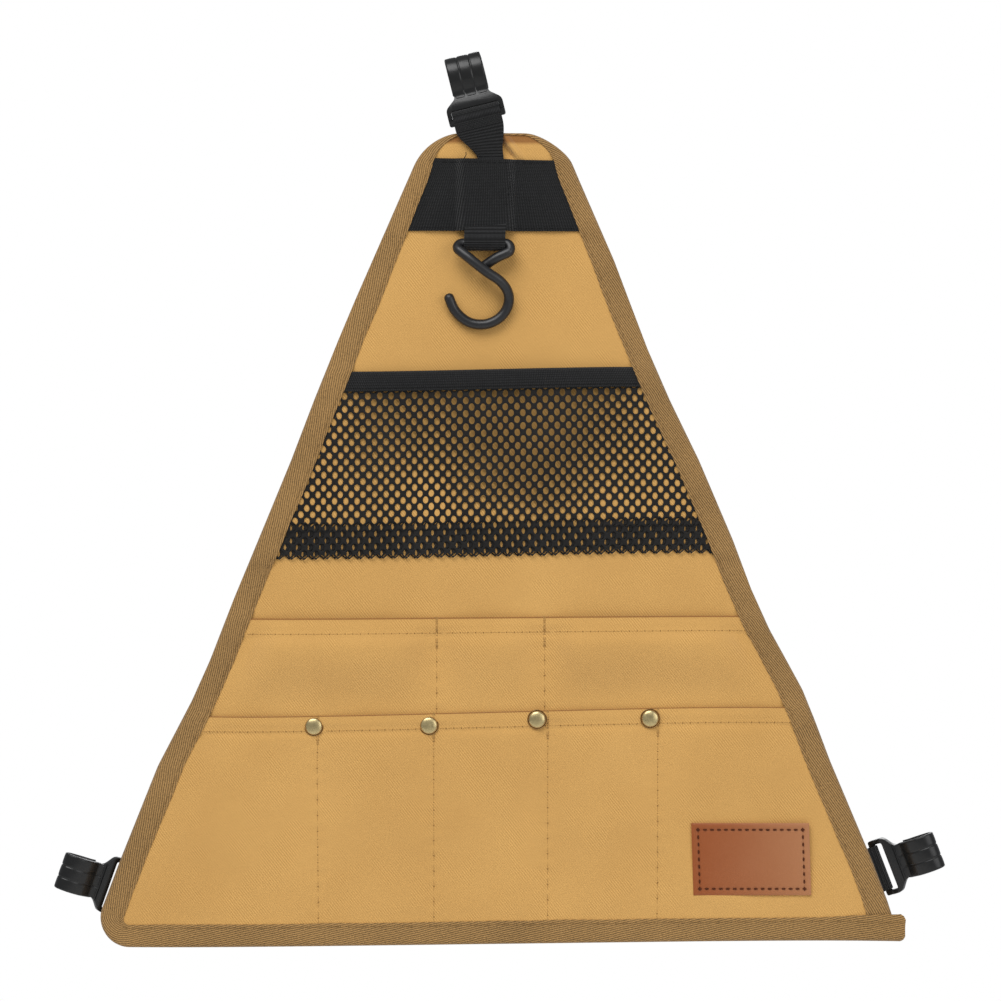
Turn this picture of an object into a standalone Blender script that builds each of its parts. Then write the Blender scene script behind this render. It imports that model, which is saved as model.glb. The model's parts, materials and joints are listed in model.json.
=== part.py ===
"""A hanging camp organiser: a tapered canvas panel bound with tape, a net pocket, two rows of
canvas pockets, a webbing strap with a moulded hook and a wire S-hook, and a hook at each lower
corner. Metres, +Z up. The front faces -Y. The origin is the seat inside the top hook's curl."""

import math

import bmesh
import bpy
from mathutils import Matrix, Vector

COLLECTION_NAME = "hanging_camp_organiser"
CUTTER_COLLECTION_NAME = "cutters"

# Clearance between pieces that touch
GAP = 0.0003

# Canvas panel, with drops measured down from its top edge
PANEL_HEIGHT = 0.4455
PANEL_TOP_WIDTH = 0.0737
PANEL_BOTTOM_WIDTH = 0.4494
PANEL_TOP_RADIUS = 0.030
PANEL_LEFT_CORNER_RADIUS = 0.0186
PANEL_RIGHT_CORNER_RADIUS = 0.003
CANVAS_THICKNESS = 0.0008
ARC_STEPS = 10

# Edge tape, folded over the rim of the panel
TAPE_FOLD_WIDTH = 0.0125
TAPE_THICKNESS = 0.0007
TAPE_END_WIDTH = 0.020
TAPE_END_HEIGHT = 0.0185
TAPE_END_PROUD = 0.0005

# Pocket cloth
POCKET_CLOTH = 0.0008
HEM_WIDTH = 0.009
HEM_TURN = 0.0006
SEAM_HALF_WIDTH = 0.0012
POCKET_RAMP = 0.012
POCKET_SIDE_RAMP = 0.008
POCKET_FLAT_FOOT = 0.0082

# Upper row of pockets, its mouth measured up from the lower one
UPPER_MOUTH_RISE = 0.0520
UPPER_POCKET_FALL = 0.048
UPPER_BULGE = 0.0085
UPPER_DIVIDERS = (-0.0325, 0.0275)

# Lower row of pockets, its mouth measured up from the panel's foot
LOWER_MOUTH_HEIGHT = 0.1270
LOWER_BULGE = 0.0085
LOWER_DIVIDERS = (-0.0970, -0.0340, 0.0290, 0.0885)

# Double-cap rivets at the mouth of the lower row
RIVET_CAP_RADIUS = 0.0055
RIVET_CAP_HEIGHT = 0.0020
RIVET_RIM = 0.0004
RIVET_STEM_RADIUS = 0.0015
RIVET_BORE_RADIUS = 0.0010
RIVET_PIN_RADIUS = 0.0007
RIVET_FOOT_RADIUS = 0.0045
RIVET_FOOT_THICKNESS = 0.0008
RIVET_BELOW_MOUTH = 0.0045
RIVET_FOOT_BEVEL = 0.0005
RIVET_FLAT_MARGIN = 0.0008
RIVET_STEPS = 20
RIVET_DOME_STEPS = 5

# Net pocket
NET_MOUTH_DROP = 0.1305
NET_HEIGHT = 0.1025
NET_THICKNESS = 0.0008
NET_BULGE = 0.0065
NET_PITCH = 0.0105
NET_ROW = 0.0060
NET_HOLE_WIDTH = 0.0045
NET_HOLE_HEIGHT = 0.0054
NET_BORDER = 0.0030
NET_FOLD_HEIGHT = 0.0175
NET_TAPE_WIDTH = 0.0107
NET_TAPE_THICKNESS = 0.0006
NET_TAPE_ROUND = 0.7

# Leather patch on the last lower pocket
PATCH_WIDTH = 0.066
PATCH_HEIGHT = 0.040
PATCH_THICKNESS = 0.0016
PATCH_CORNER = 0.0015
PATCH_FROM_RIM = 0.0641
PATCH_CENTRE_HEIGHT = 0.0465

# Webbing
WEBBING_WIDTH = 0.025
WEBBING_THICKNESS = 0.0010
BAND_WIDTH = 0.0395
BAND_TOP_DROP = 0.0145
BAND_RAMP = 0.0030
STRAP_CENTRE_X = -0.0049
STRAP_NECK_WIDTH = 0.0145
STRAP_NECK_X = -0.0020
STRAP_FREE_BELOW_BAND = 0.0070
STRAP_PINCH = 0.0012
EYE_TAIL = 0.0085
TOP_EYE_TAIL = 0.0050
EYE_INSET = 0.0002
SIDE_STRAP_REACH = 0.0052

# Moulded hook, all three alike
HOOK_BAR_WIDTH = 0.0028
HOOK_SLOT_WIDTH = 0.0056
HOOK_OUTER_BAR = 0.0053
HOOK_FRAME_LENGTH = 0.0316
HOOK_SLOT_END_WALL = 0.0024
HOOK_CURL_WIDTH = 0.019
HOOK_PLATE = 0.0023
HOOK_CURL_RADIUS = 0.0041
HOOK_CURL_REACH = 0.0233
HOOK_CURL_DIP = 0.0009
HOOK_MOUTH_TIP = 0.0148
HOOK_NECK_FILLET = 0.004
HOOK_SHOULDER_RADIUS = 0.0042
HOOK_RIM_RISE = 0.0007
HOOK_RIM_START = 0.0026
HOOK_RIM_ROUND = 0.0004
HOOK_GROOVE_WIDTH = 0.0011
HOOK_GROOVE_DEPTH = 0.0005
HOOK_GROOVE_SPACING = 0.0064
HOOK_GROOVE_START = 0.0022
HOOK_CURL_FORWARD = 0.0012
HOOK_WELD = 1e-5
# The plate from its frame to its curl: the share of the way along, and of the way to the front
HOOK_SWELL = ((0.14, 0), (0.30, 0), (0.55, 0.63), (0.85, 1))

# Where the three hooks hang on their straps
TOP_BAR_X = -0.0088
TOP_BAR_RISE = 0.0078
TOP_HOOK_LEAN = math.radians(14)
LEFT_BAR_BEYOND_RIM = -0.0053
LEFT_BAR_HEIGHT = 0.0302
LEFT_HOOK_LEAN = math.radians(70.5)
RIGHT_BAR_BEYOND_RIM = 0.0058
RIGHT_BAR_HEIGHT = 0.0407
RIGHT_HOOK_LEAN = math.radians(69)
SIDE_BAR_DEPTH = 0.0068
SIDE_HOOK_TILT = math.radians(32)

# Wire S-hook
WIRE_RADIUS = 0.0026
SHOOK_ARC_RADIUS = 0.0165
SHOOK_ARC_CENTRE = (-0.00305, -0.0281)
SHOOK_ARC_DEPTH = 0.0015
SHOOK_BAR_DROP = 0.0610
WIRE_SIDES = 2
SHOOK_BAR_HALF = 0.0112
SHOOK_BEND_RADIUS = 0.0037
SHOOK_BEND_SWEEP = 140
SHOOK_REAR_LEAN = math.radians(25)
SHOOK_FRONT_LEAN = math.radians(45)
# From the bends to the short end behind the crossing, and over the crossing to the round hook
SHOOK_SHORT_END = ((0.0078, -0.0030, -0.0094), (0.0020, -0.0004, -0.0116))
SHOOK_CROSSING = ((-0.0070, -0.0064, -0.0085), (0.0010, -0.0067, -0.0124), (0.0065, -0.0057, -0.0162))


# Layers of the panel, as distances in front of the middle of the canvas

PANEL_FACE = CANVAS_THICKNESS / 2
TAPE_FACE = PANEL_FACE + GAP + TAPE_THICKNESS
UPPER_BACK = PANEL_FACE + GAP
UPPER_FACE = UPPER_BACK + POCKET_CLOTH
LOWER_BACK = UPPER_FACE + GAP
LOWER_FACE = LOWER_BACK + POCKET_CLOTH
LOWER_HEM_FACE = LOWER_BACK + 2 * POCKET_CLOTH
NET_BACK_AT_MOUTH = PANEL_FACE + 2 * GAP + NET_TAPE_THICKNESS
NET_BACK_AT_FOOT = PANEL_FACE + GAP
STRAP_BACK = TAPE_FACE + GAP
STRAP_STACK = 2 * WEBBING_THICKNESS
STRAP_FACE = STRAP_BACK + STRAP_STACK
BAND_FLAT_BACK = PANEL_FACE + GAP
BAND_RAISED_BACK = STRAP_FACE + GAP

EDGE_SLOPE = (PANEL_BOTTOM_WIDTH - PANEL_TOP_WIDTH) / 2 / PANEL_HEIGHT
EDGE_ANGLE = math.atan(EDGE_SLOPE)
POCKET_SIDE_INSET = TAPE_FOLD_WIDTH + GAP
POCKET_SPARE = 0.002
POCKET_FOOT_DROP = PANEL_HEIGHT - TAPE_FOLD_WIDTH - GAP + POCKET_SPARE
LOWER_MOUTH_DROP = PANEL_HEIGHT - LOWER_MOUTH_HEIGHT
UPPER_MOUTH_DROP = LOWER_MOUTH_DROP - UPPER_MOUTH_RISE
LOWER_POCKET_FALL = POCKET_FOOT_DROP - POCKET_FLAT_FOOT - LOWER_MOUTH_DROP
PATCH_CENTRE_DROP = PANEL_HEIGHT - PATCH_CENTRE_HEIGHT
PATCH_CENTRE_X = PANEL_TOP_WIDTH / 2 + EDGE_SLOPE * PATCH_CENTRE_DROP - PATCH_FROM_RIM

HOOK_SLOT_INNER = HOOK_BAR_WIDTH / 2
HOOK_SLOT_OUTER = HOOK_SLOT_INNER + HOOK_SLOT_WIDTH
HOOK_FRAME_END = HOOK_SLOT_OUTER + HOOK_OUTER_BAR
HOOK_END = HOOK_FRAME_END + HOOK_CURL_REACH
HOOK_CURL_CENTRE = HOOK_END - HOOK_PLATE / 2 - HOOK_CURL_RADIUS
HOOK_CURL_BACK = HOOK_CURL_RADIUS - HOOK_CURL_FORWARD
HOOK_SEAT = Vector((0, HOOK_CURL_BACK, HOOK_END - HOOK_PLATE))
HOOK_EYE_RADIUS = math.hypot(HOOK_BAR_WIDTH, HOOK_PLATE) / 2 + GAP

# Frames that turn a flat outline into a solid: front views, side views and views from above
FRONT = Matrix.Rotation(math.radians(90), 4, "X")
SIDE = Matrix(((0, 0, 1, 0), (1, 0, 0, 0), (0, 1, 0, 0), (0, 0, 0, 1)))

materials = {}
part_collection = None
cutter_collection = None


# Scene and materials

def clear_scene():
    for thing in list(bpy.data.objects):
        bpy.data.objects.remove(thing, do_unlink=True)


def make_collection(name, helper=False):
    collection = bpy.data.collections.new(name)
    bpy.context.scene.collection.children.link(collection)
    collection.hide_render = helper
    return collection


def make_material(name, colour, roughness, metallic=0.0):
    material = bpy.data.materials.new(name)
    material.use_nodes = True
    shader = material.node_tree.nodes["Principled BSDF"]
    shader.inputs["Base Color"].default_value = (*colour, 1.0)
    shader.inputs["Roughness"].default_value = roughness
    shader.inputs["Metallic"].default_value = metallic
    materials[name] = material


def make_materials():
    make_material("tan_canvas", (0.60, 0.35, 0.115), 0.9)
    make_material("brown_twill_tape", (0.30, 0.17, 0.067), 0.9)
    make_material("black_webbing", (0.020, 0.020, 0.020), 0.85)
    make_material("black_net", (0.018, 0.017, 0.016), 0.8)
    make_material("black_moulded_plastic", (0.022, 0.022, 0.022), 0.38)
    make_material("black_coated_wire", (0.025, 0.025, 0.026), 0.42)
    make_material("antique_brass", (0.36, 0.27, 0.12), 0.32, 1.0)
    make_material("brown_leather", (0.36, 0.12, 0.040), 0.5)


def make_empty(name, parent, location, rotation=None):
    empty = bpy.data.objects.new(name, None)
    empty.empty_display_size = 0.01
    part_collection.objects.link(empty)
    empty.parent = parent
    empty.location = location
    if rotation is not None:
        empty.rotation_euler = rotation.to_euler()
    return empty


# Solids

def add_part(name, mesh, parent, material):
    part = bpy.data.objects.new(name, mesh)
    part_collection.objects.link(part)
    part.parent = parent
    mesh.materials.clear()
    mesh.materials.append(materials[material])
    return part


def add_cutter(name, mesh, parent):
    cutter = bpy.data.objects.new(name, mesh)
    cutter_collection.objects.link(cutter)
    cutter.parent = parent
    cutter.hide_render = True
    cutter.display_type = "WIRE"
    return cutter


def boolean(part, cutter, operation):
    modifier = part.modifiers.new(f"{operation.lower()}_{cutter.name}", "BOOLEAN")
    modifier.operation = operation
    modifier.solver = "EXACT"
    modifier.object = cutter


def extruded(name, outlines, thickness, frame):
    """A flat shape with straight walls: outlines are closed loops of (u, v) points, the first one
    the outside and any others holes. The frame takes u, v and the thickness to x, y and z."""
    curve = bpy.data.curves.new(name, "CURVE")
    curve.dimensions = "2D"
    curve.fill_mode = "BOTH"
    curve.extrude = thickness / 2
    for outline in outlines:
        spline = curve.splines.new("POLY")
        spline.points.add(len(outline) - 1)
        for point, (u, v) in zip(spline.points, outline):
            point.co = (u, v, 0, 1)
        spline.use_cyclic_u = True
    holder = bpy.data.objects.new(name, curve)
    bpy.context.scene.collection.objects.link(holder)
    graph = bpy.context.evaluated_depsgraph_get()
    mesh = bpy.data.meshes.new_from_object(holder.evaluated_get(graph))
    bpy.data.objects.remove(holder)
    bpy.data.curves.remove(curve)
    mesh.name = name
    mesh.transform(frame)
    tidy_shell(mesh)
    return mesh


def tidy_shell(mesh, weld=1e-6):
    """The loose caps welded to the walls, and every face turned out."""
    shell = bmesh.new()
    shell.from_mesh(mesh)
    bmesh.ops.remove_doubles(shell, verts=shell.verts, dist=weld)
    bmesh.ops.recalc_face_normals(shell, faces=shell.faces)
    shell.to_mesh(mesh)
    shell.free()


def baked(name, part):
    """The mesh of a part with its modifiers carried out."""
    graph = bpy.context.evaluated_depsgraph_get()
    mesh = bpy.data.meshes.new_from_object(part.evaluated_get(graph))
    mesh.name = name
    return mesh


def smooth(mesh, degrees=35):
    mesh.shade_smooth()
    mesh.set_sharp_from_angle(angle=math.radians(degrees))


def front_plate(name, outlines, face, back):
    """A plate seen from the front, from a distance in front of the canvas to another one."""
    at = Matrix.Translation((0, -(face + back) / 2, 0))
    return extruded(name, outlines, abs(face - back), at @ FRONT)


# Outlines

def arc(centre, radius, start, end, steps):
    """Points on a round stretch, with its angles in degrees."""
    angles = [math.radians(start + (end - start) * step / steps) for step in range(steps + 1)]
    return [(centre[0] + radius * math.cos(a), centre[1] + radius * math.sin(a)) for a in angles]


def rounded(corners, radii, steps=ARC_STEPS):
    """A closed outline through the corners, each rounded by its own radius."""
    points = []
    for index, (corner, radius) in enumerate(zip(corners, radii)):
        here = Vector(corner)
        to_last = (Vector(corners[index - 1]) - here).normalized()
        to_next = (Vector(corners[(index + 1) % len(corners)]) - here).normalized()
        half = to_last.angle(to_next) / 2
        centre = here + (to_last + to_next).normalized() * radius / math.sin(half)
        start = here + to_last * radius / math.tan(half) - centre
        end = here + to_next * radius / math.tan(half) - centre
        first = math.degrees(math.atan2(start.y, start.x))
        sweep = math.degrees(math.atan2(end.y, end.x)) - first
        sweep = (sweep + 180) % 360 - 180
        points += arc(centre, radius, first, first + sweep, steps)
    return points


def inset(corners, distance):
    """The corners of a convex outline moved in by a distance square to its sides."""
    moved = []
    for index, corner in enumerate(corners):
        here = Vector(corner)
        to_last = (Vector(corners[index - 1]) - here).normalized()
        to_next = (Vector(corners[(index + 1) % len(corners)]) - here).normalized()
        half = to_last.angle(to_next) / 2
        moved.append(here + (to_last + to_next).normalized() * distance / math.sin(half))
    return moved


def panel_outline(distance):
    """The panel's rim, moved in by a distance."""
    bottom = PANEL_BOTTOM_WIDTH / 2
    top = PANEL_TOP_WIDTH / 2
    corners = ((-bottom, -PANEL_HEIGHT), (bottom, -PANEL_HEIGHT), (top, 0), (-top, 0))
    radii = (PANEL_LEFT_CORNER_RADIUS, PANEL_RIGHT_CORNER_RADIUS, PANEL_TOP_RADIUS, PANEL_TOP_RADIUS)
    least = PANEL_RIGHT_CORNER_RADIUS / 2
    return rounded(inset(corners, distance), [max(radius - distance, least) for radius in radii])


def half_width(drop, distance):
    """Half the panel's width at a drop, less a distance square to its side."""
    return PANEL_TOP_WIDTH / 2 + EDGE_SLOPE * drop - distance / math.cos(EDGE_ANGLE)


def through_points(points, steps):
    """A smooth path through points of two or three coordinates, with a few steps between each two."""
    path = []
    points = [Vector(point) for point in points]
    for index in range(len(points) - 1):
        before = points[max(index - 1, 0)]
        start = points[index]
        end = points[index + 1]
        after = points[min(index + 2, len(points) - 1)]
        span = (end - start).length
        leaving = (end - before) * span / ((start - before).length + span)
        arriving = (after - start) * span / ((after - end).length + span)
        for step in range(steps):
            t = step / steps
            bent = start + (end - start) * t * t * (3 - 2 * t)
            path.append(bent + leaving * t * (1 - t) ** 2 - arriving * t * t * (1 - t))
    path.append(points[-1])
    return path


def thickened(path, thickness, offset=0.0):
    """The outline of a strip that follows a path, its middle moved to the path's left."""
    left, right = [], []
    for index, point in enumerate(path):
        ahead = Vector(path[min(index + 1, len(path) - 1)]) - Vector(path[max(index - 1, 0)])
        normal = Vector((-ahead.y, ahead.x)).normalized()
        left.append(Vector(point) + normal * (offset + thickness / 2))
        right.append(Vector(point) + normal * (offset - thickness / 2))
    return left + right[::-1]


def teardrop(radius, tail, half_tail, turn):
    """A round eye about the origin that narrows into a tail, which a turn swings from +v to +u."""
    reach = Vector((0, tail))
    side = math.degrees(math.asin((radius - half_tail) / tail))
    points = [Vector(point) for point in arc((0, 0), radius, 180 - side, 360 + side, 2 * ARC_STEPS)]
    points += [reach + Vector((half_tail, 0)), reach - Vector((half_tail, 0))]
    turned = Matrix.Rotation(-turn, 2)
    return [turned @ point for point in points]


# Cloth sheets

def grid_mesh(name, columns, rows, place):
    """An open sheet of columns by rows, each crossing put in its place, facing the front."""
    sheet = bmesh.new()
    bmesh.ops.create_grid(sheet, x_segments=columns - 1, y_segments=rows - 1, size=1)
    for vertex in sheet.verts:
        column = round((vertex.co.x + 1) / 2 * (columns - 1))
        row = round((1 - vertex.co.y) / 2 * (rows - 1))
        vertex.co = place(column, row)
    if sum(face.normal.y * face.calc_area() for face in sheet.faces) > 0:
        bmesh.ops.reverse_faces(sheet, faces=sheet.faces)
    bent = [face for face in sheet.faces if len({round(vertex.co.y, 7) for vertex in face.verts}) > 1]
    bmesh.ops.triangulate(sheet, faces=bent)
    sheet.normal_update()
    mesh = bpy.data.meshes.new(name)
    sheet.to_mesh(mesh)
    sheet.free()
    return mesh


def solidify(part, thickness, offset):
    modifier = part.modifiers.new("cloth_thickness", "SOLIDIFY")
    modifier.thickness = thickness
    modifier.offset = offset
    modifier.use_even_offset = True
    return modifier


def pocket_columns(drop, dividers, seam_half):
    """Across a row of pockets at a drop: each column's x and its share of the bulge."""
    side = half_width(drop, POCKET_SIDE_INSET - POCKET_SPARE)
    seams = [-side, *dividers, side]
    columns = []
    for index, (left, right) in enumerate(zip(seams, seams[1:])):
        first = index == 0
        last = index == len(dividers)
        start = left + (0 if first else seam_half)
        end = right - (0 if last else seam_half)
        columns += [
            (start, 0),
            (start + (POCKET_SIDE_RAMP if first else POCKET_RAMP), 1),
            (end - (POCKET_SIDE_RAMP if last else POCKET_RAMP), 1),
            (end, 0),
        ]
    return columns


def trim_to_tape(piece, panel, depth):
    """Cuts a piece to the opening inside the edge tape."""
    name = f"{piece.name}_trim"
    window = front_plate(name, [panel_outline(POCKET_SIDE_INSET)], depth, -depth)
    boolean(piece, add_cutter(name, window, panel), "INTERSECT")


def make_pocket_row(name, panel, mouth, fall, bulge, dividers, back, rivets):
    """One cloth for a row of pockets: it stands off the panel at the mouth and falls back to it,
    with its seams flat on the cloth behind, and its top edge turned in as a hem."""
    flat_for_rivet = RIVET_CAP_RADIUS + RIVET_FLAT_MARGIN
    below_rivet = mouth + RIVET_BELOW_MOUTH + flat_for_rivet
    drops = [mouth, mouth + HEM_WIDTH, mouth + HEM_WIDTH + HEM_TURN]
    if rivets:
        drops += [below_rivet, below_rivet + flat_for_rivet]
    drops += [mouth + fall, POCKET_FOOT_DROP]

    def seam_half_at(drop):
        return flat_for_rivet if rivets and drop <= below_rivet else SEAM_HALF_WIDTH

    across = [pocket_columns(drop, dividers, seam_half_at(drop)) for drop in drops]

    def place(column, row):
        x, share = across[row][column]
        left = max(0.0, 1 - (drops[row] - mouth) / fall)
        return Vector((x, -(back + bulge * share * left), -drops[row]))

    mesh = grid_mesh(name, len(across[0]), len(drops), place)
    pocket = add_part(name, mesh, panel, "tan_canvas")
    hem = pocket.vertex_groups.new(name="hem")
    hem.add([v.index for v in mesh.vertices if -v.co.z < mouth + HEM_WIDTH + HEM_TURN / 2], 1.0, "REPLACE")
    cloth = solidify(pocket, 2 * POCKET_CLOTH, 1)
    cloth.vertex_group = "hem"
    cloth.thickness_vertex_group = 0.5
    trim_to_tape(pocket, panel, back + bulge + 3 * POCKET_CLOTH)
    return pocket


# Pieces of the panel

def make_back_panel(panel):
    mesh = front_plate("back_panel", [panel_outline(TAPE_THICKNESS + GAP)], PANEL_FACE, -PANEL_FACE)
    return add_part("back_panel", mesh, panel, "tan_canvas")


def make_edge_tape(panel):
    """One tape folded over the whole rim, its end square across the lower right corner."""
    mesh = front_plate("edge_tape", [panel_outline(0)], TAPE_FACE, -TAPE_FACE)
    tape = add_part("edge_tape", mesh, panel, "brown_twill_tape")
    right = PANEL_BOTTOM_WIDTH / 2
    top = -PANEL_HEIGHT + TAPE_END_HEIGHT
    low = -PANEL_HEIGHT - TAPE_END_PROUD
    corners = (
        (right - TAPE_END_WIDTH, low),
        (right + TAPE_END_PROUD, low),
        (right + TAPE_END_PROUD, top),
        (right - TAPE_END_WIDTH, top),
    )
    end_face = TAPE_FACE + TAPE_END_PROUD
    end = front_plate("tape_end", [rounded(corners, [TAPE_THICKNESS] * 4, 3)], end_face, -end_face)
    boolean(tape, add_cutter("tape_end", end, panel), "UNION")
    window = front_plate("tape_window", [panel_outline(TAPE_FOLD_WIDTH)], 3 * end_face, -3 * end_face)
    boolean(tape, add_cutter("tape_window", window, panel), "DIFFERENCE")
    inside = PANEL_FACE + GAP
    slit = front_plate("tape_slit", [panel_outline(TAPE_THICKNESS)], inside, -inside)
    boolean(tape, add_cutter("tape_slit", slit, panel), "DIFFERENCE")
    return tape


def net_back(x, drop):
    """How far the back of the net stands in front of the middle of the canvas."""
    left = 1 - (drop - NET_MOUTH_DROP) / NET_HEIGHT
    share = 1 - (x / half_width(drop, POCKET_SIDE_INSET)) ** 2
    rest = NET_BACK_AT_FOOT + (NET_BACK_AT_MOUTH - NET_BACK_AT_FOOT) * left
    return rest + NET_BULGE * share * left


def net_lines():
    """The drops of the lines between the net's rows, and how thick it is at each: its mouth, one
    line above each row of holes, the top of the folded band at its foot, and the foot."""
    fold = NET_MOUTH_DROP + NET_HEIGHT - NET_FOLD_HEIGHT
    rows = int((fold - NET_MOUTH_DROP - NET_TAPE_WIDTH - NET_BORDER / 2) / NET_ROW)
    lines = [(NET_MOUTH_DROP, NET_THICKNESS)]
    lines += [(fold - NET_ROW * left, NET_THICKNESS) for left in range(rows, -1, -1)]
    lines += [(fold + NET_THICKNESS, 2 * NET_THICKNESS), (NET_MOUTH_DROP + NET_HEIGHT, 2 * NET_THICKNESS)]
    return lines


def add_net_cell(sheet, upper, lower, column):
    """The strands round one oval hole, from the knots on the lines above and below it."""
    middle = (upper[column].co + lower[column].co) / 2
    outer = [upper[column], upper[column + 1], lower[column + 1]]
    outer += [lower[column], lower[column - 1], upper[column - 1]]
    hole = []
    for corner in range(len(outer)):
        turn = math.tau * corner / len(outer)
        reach = Vector((NET_HOLE_WIDTH / 2 * math.sin(turn), 0, NET_HOLE_HEIGHT / 2 * math.cos(turn)))
        hole.append(sheet.verts.new(middle + reach))
    for corner, vertex in enumerate(outer):
        after = (corner + 1) % len(outer)
        sheet.faces.new((vertex, outer[after], hole[after], hole[corner]))


def net_sheet(lines):
    """The flat net: an oval hole in each cell of its staggered rows, and plain cloth under its tape,
    at its sides and in the folded band at its foot."""
    sheet = bmesh.new()
    half_pitch = NET_PITCH / 2
    rows = []
    for drop, _ in lines:
        edge = half_width(drop, POCKET_SIDE_INSET)
        reach = int((edge - NET_BORDER / 2) / half_pitch)
        knots = {i: sheet.verts.new((i * half_pitch, 0, -drop)) for i in range(-reach, reach + 1)}
        ends = {side: sheet.verts.new((side * edge, 0, -drop)) for side in (-1, 1)}
        rows.append((reach, knots, ends))
    last_open = len(lines) - 4
    for number, ((high, upper, upper_ends), (low, lower, lower_ends)) in enumerate(zip(rows, rows[1:])):
        reach = min(high, low)
        centres = set()
        if 1 <= number <= last_open:
            clear = reach - 1
            centres = {i for i in range(-clear, clear + 1) if (i + number) % 2 == 0}
        for column in centres:
            add_net_cell(sheet, upper, lower, column)
        for column in range(-reach, reach):
            if column not in centres and column + 1 not in centres:
                sheet.faces.new((upper[column], upper[column + 1], lower[column + 1], lower[column]))
        for side in (-1, 1):
            outline = [upper[side * i] for i in range(reach, high + 1)] + [upper_ends[side]]
            outline += [lower_ends[side]] + [lower[side * i] for i in range(low, reach - 1, -1)]
            sheet.faces.new(outline)
    return sheet


def make_net_pocket(panel):
    """A net with sewn sides and foot, standing off the panel at its mouth."""
    lines = net_lines()
    thickness_at = {round(drop, 6): thickness for drop, thickness in lines}
    net = net_sheet(lines)
    bmesh.ops.recalc_face_normals(net, faces=net.faces)
    bmesh.ops.triangulate(net, faces=net.faces)
    front = bmesh.ops.extrude_face_region(net, geom=net.faces[:], use_keep_orig=True)
    for vertex in front["geom"]:
        if isinstance(vertex, bmesh.types.BMVert):
            vertex.co.y = -thickness_at.get(round(-vertex.co.z, 6), NET_THICKNESS)
    for vertex in net.verts:
        vertex.co.y -= net_back(vertex.co.x, -vertex.co.z)
    bmesh.ops.triangulate(net, faces=net.faces)
    bmesh.ops.recalc_face_normals(net, faces=net.faces)
    mesh = bpy.data.meshes.new("net_pocket")
    net.to_mesh(mesh)
    net.free()
    return add_part("net_pocket", mesh, panel, "black_net")


def make_net_tape(panel):
    """A tape folded over the mouth of the net."""
    half = NET_THICKNESS / 2 + GAP + NET_TAPE_THICKNESS / 2
    over = GAP + NET_TAPE_THICKNESS / 2
    section = [
        (-half, NET_TAPE_WIDTH),
        (-half, 0),
        (-half * NET_TAPE_ROUND, -over),
        (half * NET_TAPE_ROUND, -over),
        (half, 0),
        (half, NET_TAPE_WIDTH),
    ]
    side = half_width(NET_MOUTH_DROP, POCKET_SIDE_INSET)
    parts = round(2 * side / NET_PITCH)

    def place(column, row):
        forward, down = section[row]
        drop = NET_MOUTH_DROP + down
        x = (2 * column / parts - 1) * half_width(drop, POCKET_SIDE_INSET)
        middle = net_back(x, drop) + NET_THICKNESS / 2
        return Vector((x, -(middle - forward), -drop))

    mesh = grid_mesh("net_tape", parts + 1, len(section), place)
    tape = add_part("net_tape", mesh, panel, "black_webbing")
    solidify(tape, NET_TAPE_THICKNESS, 0)
    return tape


def make_patch(panel):
    """A flat leather patch lying on the slope of the last lower pocket."""
    slope = math.atan(LOWER_BULGE / LOWER_POCKET_FALL)
    left = 1 - (PATCH_CENTRE_DROP - LOWER_MOUTH_DROP) / LOWER_POCKET_FALL
    out = LOWER_BACK + LOWER_BULGE * left + (POCKET_CLOTH + GAP + PATCH_THICKNESS / 2) / math.cos(slope)
    half_w, half_h = PATCH_WIDTH / 2, PATCH_HEIGHT / 2
    corners = ((-half_w, -half_h), (half_w, -half_h), (half_w, half_h), (-half_w, half_h))
    outline = rounded(corners, [PATCH_CORNER] * 4, 4)
    mesh = front_plate("leather_patch", [outline], PATCH_THICKNESS / 2, -PATCH_THICKNESS / 2)
    patch = add_part("leather_patch", mesh, panel, "brown_leather")
    patch.location = (PATCH_CENTRE_X, -out, -PATCH_CENTRE_DROP)
    patch.rotation_euler = (slope, 0, 0)
    return patch


def profile_mesh(name, profile):
    """The profile of a turned solid, as (radius, height) points from its own Z axis."""
    mesh = bpy.data.meshes.new(name)
    points = [(radius, 0, height) for radius, height in profile]
    mesh.from_pydata(points, [(i, i + 1) for i in range(len(points) - 1)], [])
    return mesh


def add_screw(part, steps):
    screw = part.modifiers.new("turned", "SCREW")
    screw.axis = "Z"
    screw.steps = steps
    screw.render_steps = steps
    screw.use_merge_vertices = True
    screw.merge_threshold = 1e-5
    screw.use_smooth_shade = True


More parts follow.
